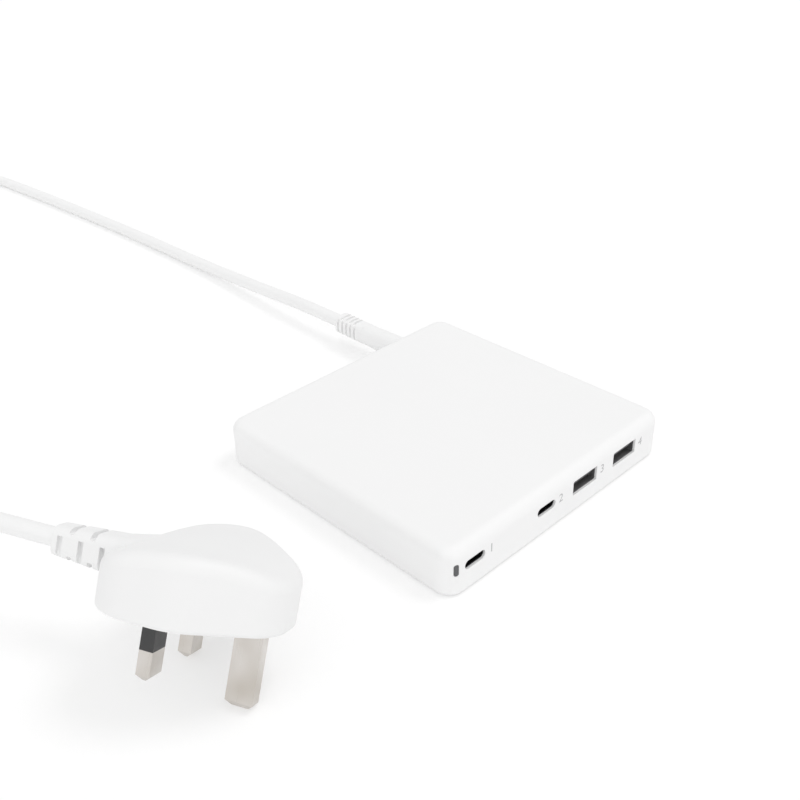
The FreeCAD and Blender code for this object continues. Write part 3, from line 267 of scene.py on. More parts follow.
@dataclass(frozen=True)
class Drawn(Finish):
    """A metal with the fine lines that rolling, drawing or polishing leaves along one direction.

    Attributes:
        metallic: One, for a bare metal.
        stain: sRGB hex colour of the patches, duller or brighter than the rest; the brighter patches on the
            pins are painted reflection.
        patch_mm: Size of those patches.
        line_mm: Spacing of the lines.
        depth_mm: Depth of the lines.
        stretch: How many times longer than wide a line is.
        uneven: How far the lines move the roughness down and up.
        along: Direction of the lines in the part's frame.
    """

    metallic: float = 1.0
    stain: str = "9A9A9B"
    patch_mm: float = 8.0
    # Drawn several times coarser than the lines of real metal, which are too fine to show
    line_mm: float = 0.15
    depth_mm: float = 0.003
    stretch: float = 60.0
    uneven: float = 0.07
    along: tuple[float, float, float] = (0.0, 1.0, 0.0)

    def detail(self, tree: bpy.types.NodeTree, surface: bpy.types.Node, place: bpy.types.NodeSocket) -> None:
        """Adds the lines and the patches.

        Args:
            tree: The material's tree.
            surface: Its shader.
            place: Object coordinates.
        """
        turn = Vector(self.along).rotation_difference(Vector((0, 0, 1))).to_euler()
        fine = 1 / (self.line_mm * MM)
        level = add_node(tree, "ShaderNodeMapping", {"Vector": place, "Rotation": turn})
        drawn = add_node(
            tree, "ShaderNodeMapping",
            {"Vector": level.outputs["Vector"], "Scale": (fine, fine, fine / self.stretch)},
        )
        lines = add_node(
            tree, "ShaderNodeTexNoise", {"Vector": drawn.outputs["Vector"], "Scale": 1.0, "Detail": 2.0}
        )
        patches = add_node(
            tree, "ShaderNodeTexNoise", {"Vector": place, "Scale": 1 / (self.patch_mm * MM), "Detail": 1.0}
        )
        # On the pins, the brighter and duller patches are painted reflection
        self.lay(tree, surface, patches.outputs["Fac"], second=self.stain)
        self.lay(tree, surface, lines.outputs["Fac"], spread=self.uneven, depth_mm=self.depth_mm)


@dataclass(frozen=True)
class Wound(Finish):
    """Turns of tape, film or wire laid side by side across one direction.

    Attributes:
        shade: sRGB hex colour between the turns.
        turn_mm: Width of a turn.
        depth_mm: Depth between the turns.
        wander: How far the turns leave a straight line.
        wander_scale: How quickly they do so.
        across: Direction in which turn follows turn.
    """

    shade: str = "8A6A1C"
    turn_mm: float = 1.5
    depth_mm: float = 0.05
    wander: float = 0.4
    wander_scale: float = 2.0
    across: Axis = Axis.Y

    def detail(self, tree: bpy.types.NodeTree, surface: bpy.types.Node, place: bpy.types.NodeSocket) -> None:
        """Adds the turns.

        Args:
            tree: The material's tree.
            surface: Its shader.
            place: Object coordinates.
        """
        # A wave of scale 1 repeats every pi tenths of a unit
        scale = math.pi / 10 / (self.turn_mm * MM)
        turns = add_node(
            tree, "ShaderNodeTexWave",
            {"Vector": place, "Scale": scale, "Distortion": self.wander, "Detail Scale": self.wander_scale},
            bands_direction=self.across.value,
        )
        self.lay(tree, surface, turns.outputs["Fac"], second=self.shade, depth_mm=self.depth_mm)


@dataclass(frozen=True)
class Pressed(Finish):
    """Pressed and fired powder: a matt body with sparse specks.

    Attributes:
        speck: sRGB hex colour of the specks.
        speck_mm: Spacing of the specks.
        core: Radius of a speck's full colour, in spacings.
        edge: Radius at which a speck has faded, in spacings.
        uneven: How far the specks move the roughness down and up.
        depth_mm: Height of the specks.
    """

    speck: str = "6E6E70"
    # Drawn coarser than the grains of real powder, which are too fine to show
    speck_mm: float = 0.6
    core: float = 0.15
    edge: float = 0.35
    uneven: float = 0.08
    depth_mm: float = 0.01

    def detail(self, tree: bpy.types.NodeTree, surface: bpy.types.Node, place: bpy.types.NodeSocket) -> None:
        """Adds the specks.

        Args:
            tree: The material's tree.
            surface: Its shader.
            place: Object coordinates.
        """
        cells = add_node(tree, "ShaderNodeTexVoronoi", {"Vector": place, "Scale": 1 / (self.speck_mm * MM)})
        specks = add_node(
            tree, "ShaderNodeMapRange",
            {"Value": cells.outputs["Distance"], "From Min": self.core, "From Max": self.edge,
             "To Min": 1.0, "To Max": 0.0},
        )
        self.lay(
            tree, surface, specks.outputs["Result"], second=self.speck, spread=self.uneven,
            depth_mm=self.depth_mm,
        )


@dataclass(frozen=True)
class Laminate(Finish):
    """A printed board: solder mask that stands a little higher over its copper tracks.

    Attributes:
        track: sRGB hex colour of the mask over copper.
        track_mm: Spacing of the tracks.
        scatter: How far the tracks leave an even grid, from 0 to 1.
        field_end: Where a bare field ends, in spacings from its middle.
        track_start: Where the track beside it has its full height, in spacings from there too.
        uneven: How far the tracks move the roughness down and up.
        depth_mm: Height of the mask over copper.
    """

    track: str = "2F7A4A"
    track_mm: float = 2.4
    scatter: float = 0.7
    field_end: float = 0.42
    track_start: float = 0.5
    uneven: float = 0.05
    depth_mm: float = 0.035

    def detail(self, tree: bpy.types.NodeTree, surface: bpy.types.Node, place: bpy.types.NodeSocket) -> None:
        """Adds the tracks.

        Args:
            tree: The material's tree.
            surface: Its shader.
            place: Object coordinates.
        """
        cells = add_node(
            tree, "ShaderNodeTexVoronoi",
            {"Vector": place, "Scale": 1 / (self.track_mm * MM), "Randomness": self.scatter},
            distance="CHEBYCHEV", feature="F1",
        )
        tracks = add_node(
            tree, "ShaderNodeMapRange",
            {"Value": cells.outputs["Distance"], "From Min": self.field_end, "From Max": self.track_start},
        )
        self.lay(
            tree, surface, tracks.outputs["Result"], second=self.track, spread=self.uneven,
            depth_mm=self.depth_mm,
        )


# Way that the plug's pins point, from its base to their tips
PIN_AXIS = (-0.4464, -0.1783, -0.8769)
UPRIGHT = (0.0, 0.0, 1.0)

# Bright white, and so finely grained that the case shows no highlight edge
HOUSING = Moulded("polycarbonate_eroded_white", "F7F7F7", roughness=0.60, ior=1.58, cloud="F5F5F5")
# Softer than the case, with a wide faint highlight over the crown
PLUG_WHITE = Moulded(
    "pvc_overmoulded_white", "F4F4F4", roughness=0.52, ior=1.54, cloud="F1F1F1", grain_mm=0.4
)
# Soft sheath with a waxy sheen
SHEATH = Moulded(
    "pvc_extruded_white", "F6F6F6", roughness=0.42, ior=1.53, cloud="F2F2F2", grain_mm=0.8, depth_mm=0.010,
    cloud_mm=18.0,
)
# Dull grey rubber that shows dust as paler clouds
FOOT = Moulded(
    "silicone_moulded_grey", "B4B4B5", roughness=0.72, ior=1.41, cloud="C2C2C1", grain_mm=0.3, depth_mm=0.02
)
# Black tongue plastic painted dark grey as painted light, for the light that reaches just inside the wide
# ports
LCP_PAINTED_LIT = Moulded(
    "lcp_painted_lit_grey", "4A4A4B", roughness=0.50, ior=1.6, cloud="3E3E3F", grain_mm=0.3, depth_mm=0.006
)
# Nearly black inside the narrow ports, with hardly any gloss
LCP_BLACK = Moulded(
    "lcp_moulded_black", "1C1C1D", roughness=0.50, ior=1.6, cloud="242425", grain_mm=0.3, depth_mm=0.006
)
# Dark grey sleeve with a dull gloss that marks its flat sides
SLEEVE = Moulded(
    "nylon_moulded_black", "2E2E2F", roughness=0.42, ior=1.53, cloud="39393A", grain_mm=0.3, depth_mm=0.006
)
# Plain black band that stands out on the white coil
TIE = Moulded(
    "nylon_moulded_tie_black", "222223", roughness=0.48, ior=1.53, cloud="2B2B2C", grain_mm=0.3
)
# Smoked window that looks grey while its light is off
GUIDE = Moulded(
    "polycarbonate_smoked", "58595B", roughness=0.24, ior=1.58, cloud="4C4D4F", grain_mm=0.4, depth_mm=0.002
)
# Pale grey drawer between the pins, set off from the white base
CARRIER = Moulded("nylon_moulded_grey", "D2D2D1", roughness=0.46, ior=1.53, cloud="C8C8C7", grain_mm=0.3)
# Clear mid green with a slight sheen
TERMINAL = Moulded("nylon_moulded_green", "3C8A5A", roughness=0.45, ior=1.53, cloud="34794F", grain_mm=0.4)
# Milky white with a yellow cast over the chip
LED_BODY = Moulded(
    "led_epoxy_white", "F1EFDF", roughness=0.30, ior=1.52, cloud="E8E2B4", grain_mm=0.2, cloud_mm=1.5
)
# Charcoal black, dull and a little dusty
EPOXY_BLACK = Moulded(
    "epoxy_moulded_black", "1E1E20", roughness=0.58, ior=1.55, cloud="29292B", grain_mm=0.15, cloud_mm=4.0
)
# Strong yellow with the soft gloss of a moulded box
FILM_BOX = Moulded(
    "polypropylene_box_yellow", "E0B92E", roughness=0.40, ior=1.49, cloud="D6AC22", grain_mm=0.4
)
# Brown insulation with a soft sheen along the wire
LIVE_WIRE = Moulded(
    "pvc_wire_brown", "6B4226", roughness=0.45, ior=1.53, cloud="5E381E", grain_mm=0.3, cloud_mm=4.0
)
# Blue insulation with the same sheen
NEUTRAL_WIRE = Moulded(
    "pvc_wire_blue", "2D5FA8", roughness=0.45, ior=1.53, cloud="27549A", grain_mm=0.3, cloud_mm=4.0
)
# Milky film that lies almost flat and mirrors faintly
FILM_SHEET = Moulded(
    "polyester_sheet_natural", "DCD9CB", roughness=0.30, ior=1.64, cloud="D2CEBD", grain_mm=1.2,
    depth_mm=0.004,
)
# Warm grey metal that mirrors the white floor softly; the brighter and duller stretches along each pin are
# painted reflection
PIN_METAL = Drawn(
    "nickel_plated_brass_painted_reflection", "B2AA9E", roughness=0.30, stain="E8E5E3", patch_mm=10.0, line_mm=0.2,
    along=PIN_AXIS,
)
# Dull plating that turns dark grey just inside the wide ports, where little light comes in
SHELL_STEEL = Drawn("nickel_plated_steel_dull", "9C9C9E", roughness=0.62, stain="88888A", line_mm=0.12)
# Steel plating darkened as painted shade, so the narrow ports read as black with a thin dark rim
SHELL_PAINTED_SHADE = Drawn("steel_painted_shade_black", "5C5C5E", roughness=0.34, stain="48484A", line_mm=0.12)
# Warm yellow glints on the tongues, deep in the ports
GOLD = Drawn("gold_plated_bronze", "D9B25C", roughness=0.25, stain="C49A42", line_mm=0.1)
# Cold grey with fine lines along the shank
SCREW = Drawn("zinc_plated_steel", "A9ABAD", roughness=0.35, line_mm=0.2, along=UPRIGHT)
# Pale sheet with the long lines of the rolls
PLATE = Drawn("aluminium_rolled_sheet", "C9CACB", roughness=0.36, stain="B4B5B7", line_mm=0.25)
# Bright can with lines up its side
CAN = Drawn("aluminium_drawn_can", "BFC1C4", roughness=0.32, stain="A7A9AD", along=UPRIGHT)
# Bright tin that clouds over in places
SOLDER = Drawn("tin_solder_bright", "C3C5C8", roughness=0.22, stain="A9ABAF", line_mm=0.4)
# Yellow tape in even turns
TAPE = Wound(
    "polyester_tape_yellow", "E5C233", roughness=0.38, ior=1.64, shade="B8951E", turn_mm=2.0, across=Axis.Z
)
# Black film, shrunk on in faint rings
CAP_FILM = Wound(
    "pvc_shrink_film_black", "26282C", roughness=0.34, ior=1.53, shade="1C1D20", turn_mm=6.0, across=Axis.X
)
# Matt dark grey with paler grains
FERRITE = Pressed("ferrite_sintered_grey", "3A3A3C", roughness=0.66, ior=2.3, speck="525255")
# Chalky off-white with fine darker specks
CERAMIC = Pressed(
    "ceramic_fired_white", "E9E6DE", roughness=0.50, ior=1.7, speck="D8D3C6", speck_mm=0.4
)
# Deep green, lighter and raised where copper lies under the mask
BOARD = Laminate("glass_epoxy_board_green", "1F6238", roughness=0.36, ior=1.55)
# Thin ink, a shade that reads as pale grey on the white wall
PRINT = Moulded(
    "pad_print_ink_grey", "B4B4B5", roughness=0.60, ior=1.5, cloud="BDBDBE", grain_mm=0.2, depth_mm=0.002
)


# Rows of equal blocks

@dataclass
class Rows:
    """Equal blocks in parallel rows, made with Geometry Nodes.

    Attributes:
        name: Name of the piece.
        block: Size of a block.
        count: Blocks in a row.
        step: From one block of a row to the next.
        rows: Number of rows.
        row_step: From one row to the next.
    """

    name: str
    block: tuple[float, float, float]
    count: int
    step: tuple[float, float, float]
    rows: int = 1
    row_step: tuple[float, float, float] = (0.0, 0.0, 0.0)

    @staticmethod
    def tree() -> bpy.types.NodeTree:
        """Makes the node tree the first time, and returns it."""
        found = bpy.data.node_groups.get("rows_of_blocks")
        if found:
            return found
        made = bpy.data.node_groups.new("rows_of_blocks", "GeometryNodeTree")
        for name, kind in (
            ("Start", "Vector"), ("Step", "Vector"), ("Count", "Int"), ("Row Step", "Vector"),
            ("Rows", "Int"), ("Block", "Vector"), ("Material", "Material"),
        ):
            made.interface.new_socket(name, in_out="INPUT", socket_type=f"NodeSocket{kind}")
        made.interface.new_socket("Geometry", in_out="OUTPUT", socket_type="NodeSocketGeometry")
        given = add_node(made, "NodeGroupInput").outputs
        row = add_node(
            made, "GeometryNodeMeshLine",
            {"Count": given["Count"], "Start Location": given["Start"], "Offset": given["Step"]},
        )
        starts = add_node(made, "GeometryNodeMeshLine", {"Count": given["Rows"], "Offset": given["Row Step"]})
        spread = add_node(
            made, "GeometryNodeInstanceOnPoints",
            {"Points": starts.outputs["Mesh"], "Instance": row.outputs["Mesh"]},
        )
        places = add_node(made, "GeometryNodeRealizeInstances", {"Geometry": spread.outputs["Instances"]})
        block = add_node(made, "GeometryNodeMeshCube", {"Size": given["Block"]})
        blocks = add_node(
            made, "GeometryNodeInstanceOnPoints",
            {"Points": places.outputs["Geometry"], "Instance": block.outputs["Mesh"]},
        )
        solid = add_node(made, "GeometryNodeRealizeInstances", {"Geometry": blocks.outputs["Instances"]})
        dressed = add_node(
            made, "GeometryNodeSetMaterial",
            {"Geometry": solid.outputs["Geometry"], "Material": given["Material"]},
        )
        add_node(made, "NodeGroupOutput", {"Geometry": dressed.outputs["Geometry"]})
        return made

    def build(self, place: Matrix, finish: Finish, slot: str) -> bpy.types.Object:
        """Makes the blocks as one plain mesh, centred on a place.

        Args:
            place: Place and turn of the middle of the rows.
            finish: Finish of the blocks.
            slot: Material slot of the record that the finish belongs to; not used.

        Returns:
            The piece.
        """
        start = -(Vector(self.step) * (self.count - 1) + Vector(self.row_step) * (self.rows - 1)) / 2
        given = {
            "Start": start, "Step": self.step, "Count": self.count, "Row Step": self.row_step,
            "Rows": self.rows, "Block": self.block, "Material": finish.material(),
        }
        piece = add_object(self.name, bpy.data.meshes.new(self.name))
        maker = piece.modifiers.new("rows", "NODES")
        maker.node_group = self.tree()
        for socket in maker.node_group.interface.items_tree:
            if socket.in_out == "INPUT":
                maker[socket.identifier] = given[socket.name]
        mesh = bpy.data.meshes.new_from_object(piece.evaluated_get(bpy.context.evaluated_depsgraph_get()))
        piece.modifiers.remove(maker)
        mesh.transform(place)
        piece.data = mesh
        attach(piece, BODY)
        LOG.info("%s: %s", self.name, finish.name)
        return piece


# Sub-assemblies

@dataclass
class Case:
    """The two covers, the rubber feet and the screws."""

    def build(self) -> None:
        """Adds nothing: the covers are the frame's own."""

    def dress(self) -> None:
        """Gives each piece its finish."""
        HOUSING.dress("top_cover", "base_cover")
        FOOT.dress(*(f"rubber_foot_{corner}" for corner in CORNERS))
        SCREW.dress("case_screws")


@dataclass
class Receptacles:
    """The four ports behind the front wall, their numbers, and the light beside them.

    Attributes:
        pad: Size of a contact pad on the tongue of an oval port.
        pad_pitch: Spacing of the pads.
        pads: Pads on each face of a tongue.
        tongue: Thickness of a tongue.
        pad_inset: From the front edge of a tongue to its pads.
        number_size: Size of the type of the printed numbers.
        number_gap: From a port's right end to its number.
        ink: Thickness of the print.
        wall: Where the outside of the front wall is.
        corner: Radius of the case's upright corners, one of which the light's lens follows.
        lens_width: Width of the light's lens.
        lens_height: Height of the lens, whose ends are half round.
        lens_columns: Points across the lens.
        lens_rows: Points up the lens.
        lens_reach: How far up its half-round ends the last points are, as a share of their radius.
        lens_sink: How far the lens lies below the surface of the corner.
    """

    pad: tuple[float, float, float] = (0.26 * MM, 3.2 * MM, 0.04 * MM)
    pad_pitch: float = 0.5 * MM
    pads: int = 12
    tongue: float = 0.7 * MM
    pad_inset: float = 0.5 * MM
    number_size: float = 4.6 * MM
    number_gap: float = 1.8 * MM
    ink: float = 0.015 * MM
    wall: float = -54.0 * MM
    corner: float = 6.0 * MM
    lens_width: float = 1.4 * MM
    lens_height: float = 4.2 * MM
    lens_columns: int = 9
    lens_rows: int = 25
    lens_reach: float = 0.98
    lens_sink: float = 0.05 * MM

    def build(self) -> None:
        """Adds the contact pads, the numbers and the lens of the light."""
        self.lens()
        for side in SIDES:
            self.contact_pads(side)
        shells = [f"{port.value}_shell_{side}" for port in Port for side in SIDES]
        for place, shell in enumerate(shells):
            self.number(place + 1, shell)

    def contact_pads(self, side: str) -> None:
        """Lays the pads on both faces of the tongue of one oval port.

        Args:
            side: Which of the two ports.
        """
        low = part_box(f"usb_c_insulator_{side}")[0]
        middle = centre_of(f"usb_c_shell_{side}")
        middle.y = low.y + self.pad_inset + self.pad[1] / 2
        pads = Rows(
            f"usb_c_pads_{side}", self.pad, self.pads, (self.pad_pitch, 0.0, 0.0), 2, (0.0, 0.0, self.tongue)
        )
        pads.build(Matrix.Translation(middle), GOLD, "contact_gold")

    def lens(self) -> None:
        """Makes the lens on the light guide, flush with the rounded corner of the case."""
        low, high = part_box("led_light_guide")
        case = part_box("top_cover")[0]
        axis = case + Vector((self.corner, self.corner, 0.0))
        half = self.lens_width / 2
        straight = self.lens_height / 2 - half
        middle = Vector((low.x + half, low.y, high.z - self.lens_height / 2))
        shape = bmesh.new()
        rings = []
        for row in range(self.lens_rows):
            height = (2 * row / (self.lens_rows - 1) - 1) * (straight + self.lens_reach * half)
            reach = math.sqrt(half ** 2 - max(abs(height) - straight, 0.0) ** 2)
            front, back = [], []
            for column in range(self.lens_columns):
                x = middle.x + (2 * column / (self.lens_columns - 1) - 1) * reach
                skin = axis.y - math.sqrt(self.corner ** 2 - (axis.x - x) ** 2) + self.lens_sink
                front.append(shape.verts.new((x, min(skin, low.y - self.lens_sink), middle.z + height)))
                back.append(shape.verts.new((x, low.y, middle.z + height)))
            rings.append([*front, *reversed(back)])
        for lower, upper in zip(rings, rings[1:]):
            for at in range(len(lower)):
                shape.faces.new((lower[at - 1], lower[at], upper[at], upper[at - 1]))
        shape.faces.new(rings[0])
        shape.faces.new(rings[-1])
        bmesh.ops.recalc_face_normals(shape, faces=shape.faces)
        mesh = bpy.data.meshes.new("led_lens")
        shape.to_mesh(mesh)
        shape.free()
        lens = add_object("led_lens", mesh)
        GUIDE.give(lens)
        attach(lens, BODY)

    def number(self, value: int, shell: str) -> None:
        """Prints the number of a port on the wall, to the right of it.

        Args:
            value: The number.
            shell: The port's shell.
        """
        name = f"port_number_{value}"
        text = bpy.data.curves.new(name, "FONT")
        text.body = str(value)
        text.size = self.number_size
        text.extrude = self.ink
        text.align_y = "CENTER"
        typed = add_object(name, text)
        mesh = bpy.data.meshes.new_from_object(typed.evaluated_get(bpy.context.evaluated_depsgraph_get()))
        bpy.data.objects.remove(typed)
        place = Vector((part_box(shell)[1].x + self.number_gap, self.wall, centre_of(shell).z))
        mesh.transform(Matrix.Translation(place) @ Matrix.Rotation(math.pi / 2, 4, "X"))
        piece = add_object(name, mesh)
        PRINT.give(piece)
        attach(piece, BODY)

    def dress(self) -> None:
        """Gives each piece its finish."""
        for side in SIDES:
            SHELL_STEEL.dress(f"usb_a_shell_{side}")
            # The narrow ports' shells carry painted shade
            SHELL_PAINTED_SHADE.dress(f"usb_c_shell_{side}")
            # The wide ports' tongues are black plastic with painted light
            LCP_PAINTED_LIT.dress(f"usb_a_insulator_{side}")
            LCP_BLACK.dress(f"usb_c_insulator_{side}")
            GOLD.dress(f"usb_a_contacts_{side}")
        GUIDE.dress("led_light_guide")
        LED_BODY.dress("led_chip")


@dataclass
class Board:
    """The printed board with the power supply's components.

    Attributes:
        leg: Size of a leg of a control chip.
        leg_pitch: Spacing of the legs.
        legs: Legs on each side of a chip.
        joint: Size of a solder joint under the transformer.
        joint_pitch: Spacing of the joints.
        joints: Joints in each of the two rows.
    """

    leg: tuple[float, float, float] = (0.4 * MM, 1.0 * MM, 0.2 * MM)
    leg_pitch: float = 1.27 * MM
    legs: int = 4
    joint: tuple[float, float, float] = (1.8 * MM, 1.8 * MM, 0.8 * MM)
    joint_pitch: float = 3.8 * MM
    joints: int = 5

    def build(self) -> None:
        """Adds the chips' legs and the transformer's solder joints."""
        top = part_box("main_board")[1].z
        for letter in "ac":
            low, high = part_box(f"control_chip_{letter}")
            across = high.y - low.y + self.leg[1] / 2
            middle = centre_of(f"control_chip_{letter}")
            middle.z = top + self.leg[2] / 2
            legs = Rows(
                f"control_chip_legs_{letter}", self.leg, self.legs, (self.leg_pitch, 0.0, 0.0),
                2, (0.0, across, 0.0),
            )
            legs.build(Matrix.Translation(middle), SOLDER, "capacitor_can")
        low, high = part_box("transformer_winding")
        middle = centre_of("transformer_winding")
        middle.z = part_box("main_board")[0].z - self.joint[2] / 2
        joints = Rows(
            "transformer_solder_joints", self.joint, self.joints, (self.joint_pitch, 0.0, 0.0), 2,
            (0.0, high.y - low.y - self.joint[1], 0.0),
        )
        joints.build(Matrix.Translation(middle), SOLDER, "capacitor_can")

    def dress(self) -> None:
        """Gives each component its finish."""
        BOARD.dress("main_board")
        FILM_SHEET.dress("insulation_sheet")
        PLATE.dress("heat_spreader", "switch_heat_fin")
        TAPE.dress("transformer_winding")
        FERRITE.dress("transformer_core", "filter_choke", "output_inductor_a", "output_inductor_c")
        TERMINAL.dress("mains_terminal")
        LIVE_WIRE.dress("live_wire")
        NEUTRAL_WIRE.dress("neutral_wire")
        CERAMIC.dress("board_fuse")
        FILM_BOX.dress("filter_capacitor")
        EPOXY_BLACK.dress("bridge_rectifier", "switch_transistor", "control_chip_a", "control_chip_c")
        CAP_FILM.dress("bulk_capacitor_front", "bulk_capacitor_rear")
        CAN.dress(*(f"output_capacitor_{letter}_{side}" for letter in "ac" for side in SIDES))


@dataclass
class Plug:
    """The three-pin plug with its fuse, and the boot where the lead enters the case."""

    def build(self) -> None:
        """Adds nothing: the plug is the frame's own."""

    def dress(self) -> None:
        """Gives each piece its finish."""
        PLUG_WHITE.dress("plug_body")
        SHEATH.dress("cord_boot")
        PIN_METAL.dress("earth_pin", "live_pin", "neutral_pin")
        SLEEVE.dress("live_sleeve", "neutral_sleeve")
        CARRIER.dress("plug_fuse_carrier")
        CERAMIC.dress("plug_fuse")


@dataclass
class Lead:
    """The mains lead: one spline from the boot, through its coil, to the plug's strain relief.

    Attributes:
        diameter: Diameter of the sheath.
        length: Length from boot to strain relief; not used.
        boot_run: First stretch, from the boot's end towards the coil.
        plug_run: Last stretch, from the coil to the strain relief.
        coil_centre: Middle of the coil, on the level of its lowest turn.
        outer: Radius of the outermost turn, at the middle of the sheath.
        turns: Turns in each of the two layers.
        exit_turn: Further part of a turn before the lead leaves the coil.
        climb_turn: Part of a turn in which the lead climbs to the second layer.
        steps: Control points of the coil in each turn.
        tie_turn: Bearing of the tie from the middle of the coil, in degrees.
        tooth: Size of a tooth of the tie.
        tooth_pitch: Spacing of the teeth.
        teeth: Number of teeth on top of the tie.
        round_steps: Bevel steps round the sheath.
        path_steps: Steps between two control points.
    """

    diameter: float = 5.6 * MM
    length: float = 1.65
    boot_run: tuple[tuple[float, float, float], ...] = (
        (0.0335, 0.0910, 0.0090),
        (0.0335, 0.1134, 0.0090),
        (0.0342, 0.1460, 0.0064),
        (0.0354, 0.1960, 0.0032),
        (0.0349, 0.2500, 0.0028),
        (0.0326, 0.3040, 0.0028),
        (0.0294, 0.3580, 0.0028),
        (0.0252, 0.4100, 0.0028),
        (0.0120, 0.4440, 0.0028),
        (-0.0200, 0.4580, 0.0028),
        (-0.0500, 0.4430, 0.0028),
        (-0.0640, 0.4060, 0.0028),
        (-0.0625, 0.3480, 0.0030),
        (-0.0596, 0.2900, 0.0036),
    )
    plug_run: tuple[tuple[float, float, float], ...] = (
        (-0.0715, 0.2457, 0.0092),
        (-0.0810, 0.2295, 0.0082),
        (-0.0950, 0.2090, 0.0050),
        (-0.1100, 0.1860, 0.0028),
        (-0.1260, 0.1630, 0.0028),
        (-0.1395, 0.1410, 0.0042),
        (-0.1490, 0.1160, 0.0108),
        (-0.1535, 0.0890, 0.0205),
        (-0.1515, 0.0620, 0.0290),
        (-0.14482, 0.03901, 0.03190),
        (-0.13498, 0.01891, 0.03097),
    )
    coil_centre: tuple[float, float, float] = (-0.0960, 0.2760, 0.0036)
    outer: float = 36.4 * MM
    turns: float = 2.0
    exit_turn: float = 30 / 360
    climb_turn: float = 0.5
    steps: int = 16
    tie_turn: float = 150.0
    tooth: tuple[float, float, float] = (0.6 * MM, 2.6 * MM, 0.3 * MM)
    tooth_pitch: float = 1.1 * MM
    teeth: int = 12
    round_steps: int = 6
    path_steps: int = 8

    def coil(self) -> list[tuple[float, float, float]]:
        """Winds a layer inwards on the floor, climbs, and winds a second layer outwards on top of it.

        Returns:
            Control points, wound clockwise as seen from above.
        """
        total = 2 * self.turns + self.exit_turn
        count = round(total * self.steps)
        turn = total / count
        reach = 1 / math.cos(math.pi * turn)
        middle = Vector(self.coil_centre)
        points = []
        for index in range(count):
            done = (index + 0.5) * turn
            angle = -2 * math.pi * done
            depth = max(self.turns - abs(self.turns - done), 0.0)
            radius = (self.outer - self.diameter * depth) * reach
            climb = min(max((done - self.turns) / self.climb_turn + 0.5, 0.0), 1.0)
            lift = self.diameter * climb * climb * (3 - 2 * climb)
            points.append((
                middle.x + radius * math.cos(angle),
                middle.y + radius * math.sin(angle),
                middle.z + lift,
            ))
        return points

    def build(self) -> bpy.types.Object:
        """Makes the lead as one bevelled spline.

        Returns:
            The lead's curve object.
        """
        points = [*self.boot_run, *self.coil(), *self.plug_run]
        curve = bpy.data.curves.new("mains_lead", "CURVE")
        curve.dimensions = "3D"
        curve.bevel_depth = self.diameter / 2
        curve.bevel_resolution = self.round_steps
        curve.resolution_u = self.path_steps
        spline = curve.splines.new("NURBS")
        spline.points.add(len(points) - 1)
        for slot, point in zip(spline.points, points):
            slot.co = (*point, 1.0)
        spline.order_u = 3
        spline.use_endpoint_u = True
        return add_object("mains_lead", curve)

    def tie_teeth(self) -> bpy.types.Object:
        """Makes the teeth across the top of the tie.

        Returns:
            The teeth, as one piece.
        """
        middle = centre_of("coil_tie")
        middle.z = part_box("coil_tie")[1].z
        teeth = Rows("coil_tie_teeth", self.tooth, self.teeth, (self.tooth_pitch, 0.0, 0.0))
        turn = Matrix.Rotation(math.radians(self.tie_turn), 4, "Z")
        return teeth.build(Matrix.Translation(middle) @ turn, TIE, "tie_black")

    def dress(self, lead: bpy.types.Object) -> None:
        """Args:
            lead: The lead's curve object.
        """
        SHEATH.give(lead)
        TIE.dress("coil_tie")
        teeth = self.tie_teeth()
        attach(lead, BODY)
        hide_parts("lead_cord", "plug_cord", "lead_coil")


